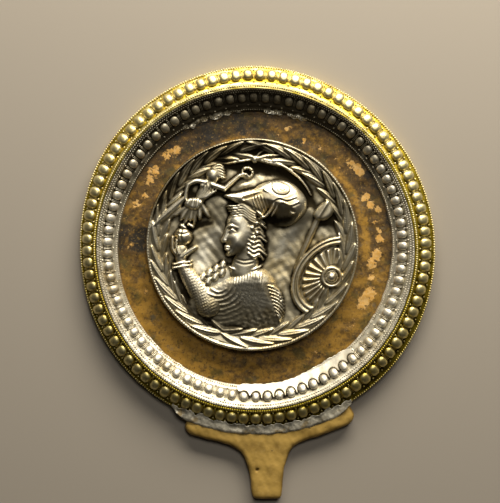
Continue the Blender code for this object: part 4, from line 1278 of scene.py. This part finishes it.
def makePlate(patina, polished):
    style = plateStyleMm
    edge, top = plateBox[1][0] / mm, plateBox[1][2] / mm
    first, step = style["fieldFrom"], style["ringStep"]
    radii = [*np.linspace(8, first, 5), *np.arange(first + step, style["fieldTo"], step), 60.0, edge]
    rings, count = len(radii), style["stations"]
    turn = np.linspace(0, 2 * math.pi, count, endpoint=False)
    x, y = np.outer(radii, np.cos(turn)).ravel(), np.outer(radii, np.sin(turn)).ravel()
    far, around = np.repeat(radii, count), np.arctan2(y, x)
    field = np.clip((far - first) / 2, 0, 1) * np.clip((style["fieldTo"] + 1.5 - far) / 2, 0, 1)
    z = top + style["dent"] * field * (ripples(x, y, 12.0, 21) * 0.6 + ripples(x, y, 3.5, 22) * 0.3 - 0.4)
    flaking = np.zeros(len(x))
    for clock, radius, length, width, strength in flakesMm:
        along = ((around - clockTurn(clock) + math.pi) % (2 * math.pi) - math.pi) * radius / length
        patch = np.exp(-0.55 * (along**2 + ((far - radius) / width) ** 2) ** 1.5)
        flaking = np.maximum(flaking, strength * patch)
    besideMedallion = np.clip(window(around, 40, 98) + window(around, 296, 356), 0, 1)
    inner = np.exp(-(((far - style["glowAt"]) / 1.6) ** 2)) * besideMedallion
    rimDirt = np.exp(-(((far - style["rimDirtAt"]) / 1.4) ** 2)) * window(around, 20, 180)
    warmth = roundClock(fieldTones["warmth"], around) + style["glow"] * inner
    grime = roundClock(fieldTones["grime"], around) + style["rimDirt"] * rimDirt - style["cleaned"] * inner
    grime += 0.40 * window(around, 267, 281, 2.0)
    points = [(0, 0, top), *zip(x, y, z)] + [(edge * math.cos(t), edge * math.sin(t), 0.0) for t in turn]
    rim, below = 1 + (rings - 1) * count, 1 + rings * count
    ahead = [(k + 1) % count for k in range(count)]
    faces = [(0, 1 + k, 1 + ahead[k]) for k in range(count)]
    for low in range(1, rim, count):
        high = low + count
        faces += [(low + k, high + k, high + ahead[k], low + ahead[k]) for k in range(count)]
    faces += [(rim + k, below + k, below + ahead[k], rim + ahead[k]) for k in range(count)]
    faces.append([below + k for k in range(count)][::-1])
    mesh = meshFrom("plate", np.array(points) * mm, faces)
    for name, values, other in (("flaking", flaking, 0.0), ("grime", grime, 0.0), ("warmth", warmth, 0.4)):
        paintValue(mesh, name, np.concatenate([[other], values, [other] * count]))
    mesh.set_sharp_from_angle(angle=math.radians(50))
    piece = newPiece("plate", mesh, patina)
    mesh.materials.append(polished)
    mesh.polygons[len(mesh.polygons) - 1].material_index = 1
    finishPiece(piece, "plate_patina", "mirror_plate")
    print("plate made")


flapStyleMm = {  # the silver's torn inner border, which lies folded flat over part of the bead row
    "fromClock": 137.0, "toClock": 188.5, "stations": 260, "across": 18, "thickness": 0.22,
    "inner": (52.7, 51.7, 52.2, 53.3, 53.5, 53.6), "outer": (56.6, 58.0, 58.5, 59.0, 59.0, 57.6),
    "tear": 1.2, "biteTurn": 1.295, "slope": 0.58, "slopeFrom": 52.5, "wave": 0.06, "beadRingShade": 1.2,
}


def stripPiece(name, style, points, tones, metal):  # a thin sheet from rows of points across a strip
    mesh = meshFrom(name, np.array(points) * mm, gridFaces(style["stations"], style["across"]))
    paintValue(mesh, "tone", tones)
    work = bmesh.new()
    work.from_mesh(mesh)
    if sum(face.normal.z for face in work.faces) < 0:
        bmesh.ops.reverse_faces(work, faces=work.faces)
    work.to_mesh(mesh)
    work.free()
    piece = newPiece(name, mesh, metal)
    sheet = piece.modifiers.new("sheet", "SOLIDIFY")
    sheet.thickness = style["thickness"] * mm
    sheet.offset = -1.0
    return piece


def makeFlap(metal):
    style = flapStyleMm
    across, bead = style["across"], silverStyleMm
    pitch = 2 * math.pi / bead["count"]
    places = np.linspace(0, 1, len(style["inner"]))
    points, tones = [], []
    for share in np.linspace(0, 1, style["stations"] + 1):
        turn = clockTurn(style["fromClock"] + (style["toClock"] - style["fromClock"]) * share)
        near, far = np.interp(share, places, style["inner"]), np.interp(share, places, style["outer"])
        bite = abs(math.sin(turn * bead["count"] / 2 + style["biteTurn"])) ** 0.7
        bite += 0.12 * math.sin(turn * 131)
        offBead = (turn - math.radians(bead["start"]) + pitch / 2) % pitch - pitch / 2
        beadRadius = float(rowRadius("silverBeads", turn))
        far -= style["tear"] * bite * min(1.0, 8 * share)
        near += 0.10 * math.sin(turn * 57) + 0.07 * math.sin(turn * 139)
        middle = (near + far) / 2
        end = math.sqrt(min(1.0, 14 * min(share, 1 - share) + 0.03))
        near, far = middle + (near - middle) * end, middle + (far - middle) * end
        for step in range(across + 1):
            radius = near + (far - near) * step / across
            x, y = radius * math.cos(turn), radius * math.sin(turn)
            climb = style["slope"] * max(0.0, radius - style["slopeFrom"])
            climb += style["wave"] * ripples(x, y, 9.0, 61)
            points.append((x, y, sheetStyleMm["tornHeight"] + climb))
            away = math.hypot(offBead * radius / 1.85, (radius - beadRadius) / 2.2)
            ring = style["beadRingShade"] * math.exp(-(((away - 1.0) / 0.20) ** 2))  # painted shade round each covered bead
            tones.append(0.84 + 0.05 * ripples(x, y, 7.0, 63) - ring)
    finishPiece(stripPiece("silverFlap", style, points, tones, metal), "worked_silver")
    print("folded sheet made")


strapStyleMm = {
    "fromClock": 148.6, "toClock": 208.5, "inner": 68.5, "outer": 73.4, "height": 4.75, "thickness": 0.30,
    "tear": 0.9, "crumple": 0.09, "stations": 260, "across": 14,
}


def makeStrap(metal):  # a torn strip of sheet over the rim's foot and the bracket's shoulder
    style = strapStyleMm
    across = style["across"]
    points, tones = [], []
    for share in np.linspace(0, 1, style["stations"] + 1):
        turn = clockTurn(style["fromClock"] + (style["toClock"] - style["fromClock"]) * share)
        ragged = 0.45 + 0.30 * math.sin(turn * 61) + 0.22 * math.sin(turn * 127 + 1)
        ragged += 0.18 * math.sin(turn * 241)
        tooth = float(window(turn, 151.5, 160.0, 3.0) + window(turn, 195.0, 204.0, 3.0))
        near = style["inner"] + 0.6 + style["tear"] * (ragged - tooth * abs(math.sin(turn * 44)))
        end = math.sqrt(min(1.0, 9 * min(share, 1 - share) + 0.05))
        far = near + (style["outer"] - near) * end + 0.15 * math.sin(turn * 53)
        leftEnd = max(0.0, (share - 0.88) / 0.12)
        for step in range(across + 1):
            radius = near + (far - near) * step / across
            x, y = radius * math.cos(turn), radius * math.sin(turn)
            fold = ripples(x, y, 6.0, 31) + 0.35 * ripples(x, y, 2.0, 32)
            droop = -0.6 * max(0.0, (radius - 72.2) / 1.2) ** 2
            lift = 0.25 * math.exp(-(((radius - near) / 0.7) ** 2))
            crumple = style["crumple"] * fold * (1 + 1.6 * leftEnd)
            points.append((x, y, style["height"] + crumple + droop + lift))
            tones.append(0.5 + 0.1 * fold)
    finishPiece(stripPiece("strapSheet", style, points, tones, metal), "dull_silver", "silver_strap")
    print("strap made")


bracketStyleMm = {
    "voxel": 0.42, "smoothing": 26, "lump": 0.04, "grain": 0.012, "crust": 0.20,
    "hole": (-0.2, -87.0, 0.45, 1.1),  # the small one in the stub's top: x, y, radius and depth
}


def makeBracket(crust):
    style = bracketStyleMm
    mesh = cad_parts["handle_bracket"].data.copy()
    work = bmesh.new()
    work.from_mesh(mesh)
    bmesh.ops.remove_doubles(work, verts=work.verts, dist=0.01 * mm)
    work.to_mesh(mesh)
    work.free()
    carrier = newPiece("bracketCage", mesh, crust)
    remesh = carrier.modifiers.new("remesh", "REMESH")
    remesh.mode = "VOXEL"
    remesh.voxel_size = style["voxel"] * mm
    carrier.modifiers.new("relax", "SMOOTH").iterations = style["smoothing"]
    made = plainMesh(carrier, "bracketCrust")
    points, normals = readPoints(made, "co") / mm, readPoints(made, "normal")
    x, y, z = points.T.copy()
    lump = style["lump"] * ripples(x, y + 0.7 * z, 6.5, 41) + style["grain"] * ripples(x + z, y, 1.6, 42)
    holeX, holeY, holeRadius, holeDepth = style["hole"]
    away = np.hypot(x - holeX, y - holeY) / holeRadius
    points[:, 2] -= holeDepth * np.exp(-(away**2) * 1.2) * (normals[:, 2] > 0.5)
    points += normals * (lump * fade(z, 0.4, 1.4) + style["crust"])[:, None]
    points[:, 2] = np.maximum(points[:, 2], 0)
    writePoints(made, points * mm)
    # painted shade: darker on the steep sides, as if lit from above, and dark in the pinhole
    side = 1 - np.abs(normals[:, 2])
    paintValue(made, "tone", 0.62 - 0.38 * side + 0.08 * ripples(x, y, 9.0, 43) - 0.8 * np.exp(-(away**2)))
    made.shade_smooth()
    finishPiece(newPiece("bracketCrust", made, crust), "ochre_filler", "handle_bracket")
    print("bracket made,", len(made.polygons), "faces")


addCamera()
addLights()
makeFloor()
workedSilver, reliefSilver, gilding = (makeMetal(name) for name in metalStyle)
print("camera, lights, floor and metals made")
seat, rebate = giltRimSeatMm["height"], giltRimSeatMm["radius"]
giltFoot = ((1, None, seat), (0, rebate, seat), (0, rebate, 0.0), (-1, None, 0.0))
silverFoot = ((1, None, seat), (-1, None, seat))
addRim("gilt", giltStyleMm, giltFoot, gilding, "gilding", "gilt_rim")
addRim("silver", silverStyleMm, silverFoot, workedSilver, "worked_silver", "silver_rim")
makeFlap(workedSilver)
makeMedallion(reliefSilver)
makePlate(makePatina(), makePolished())
makeStrap(makeDullSilver())
makeBracket(makeOchre())

print("pieces made")
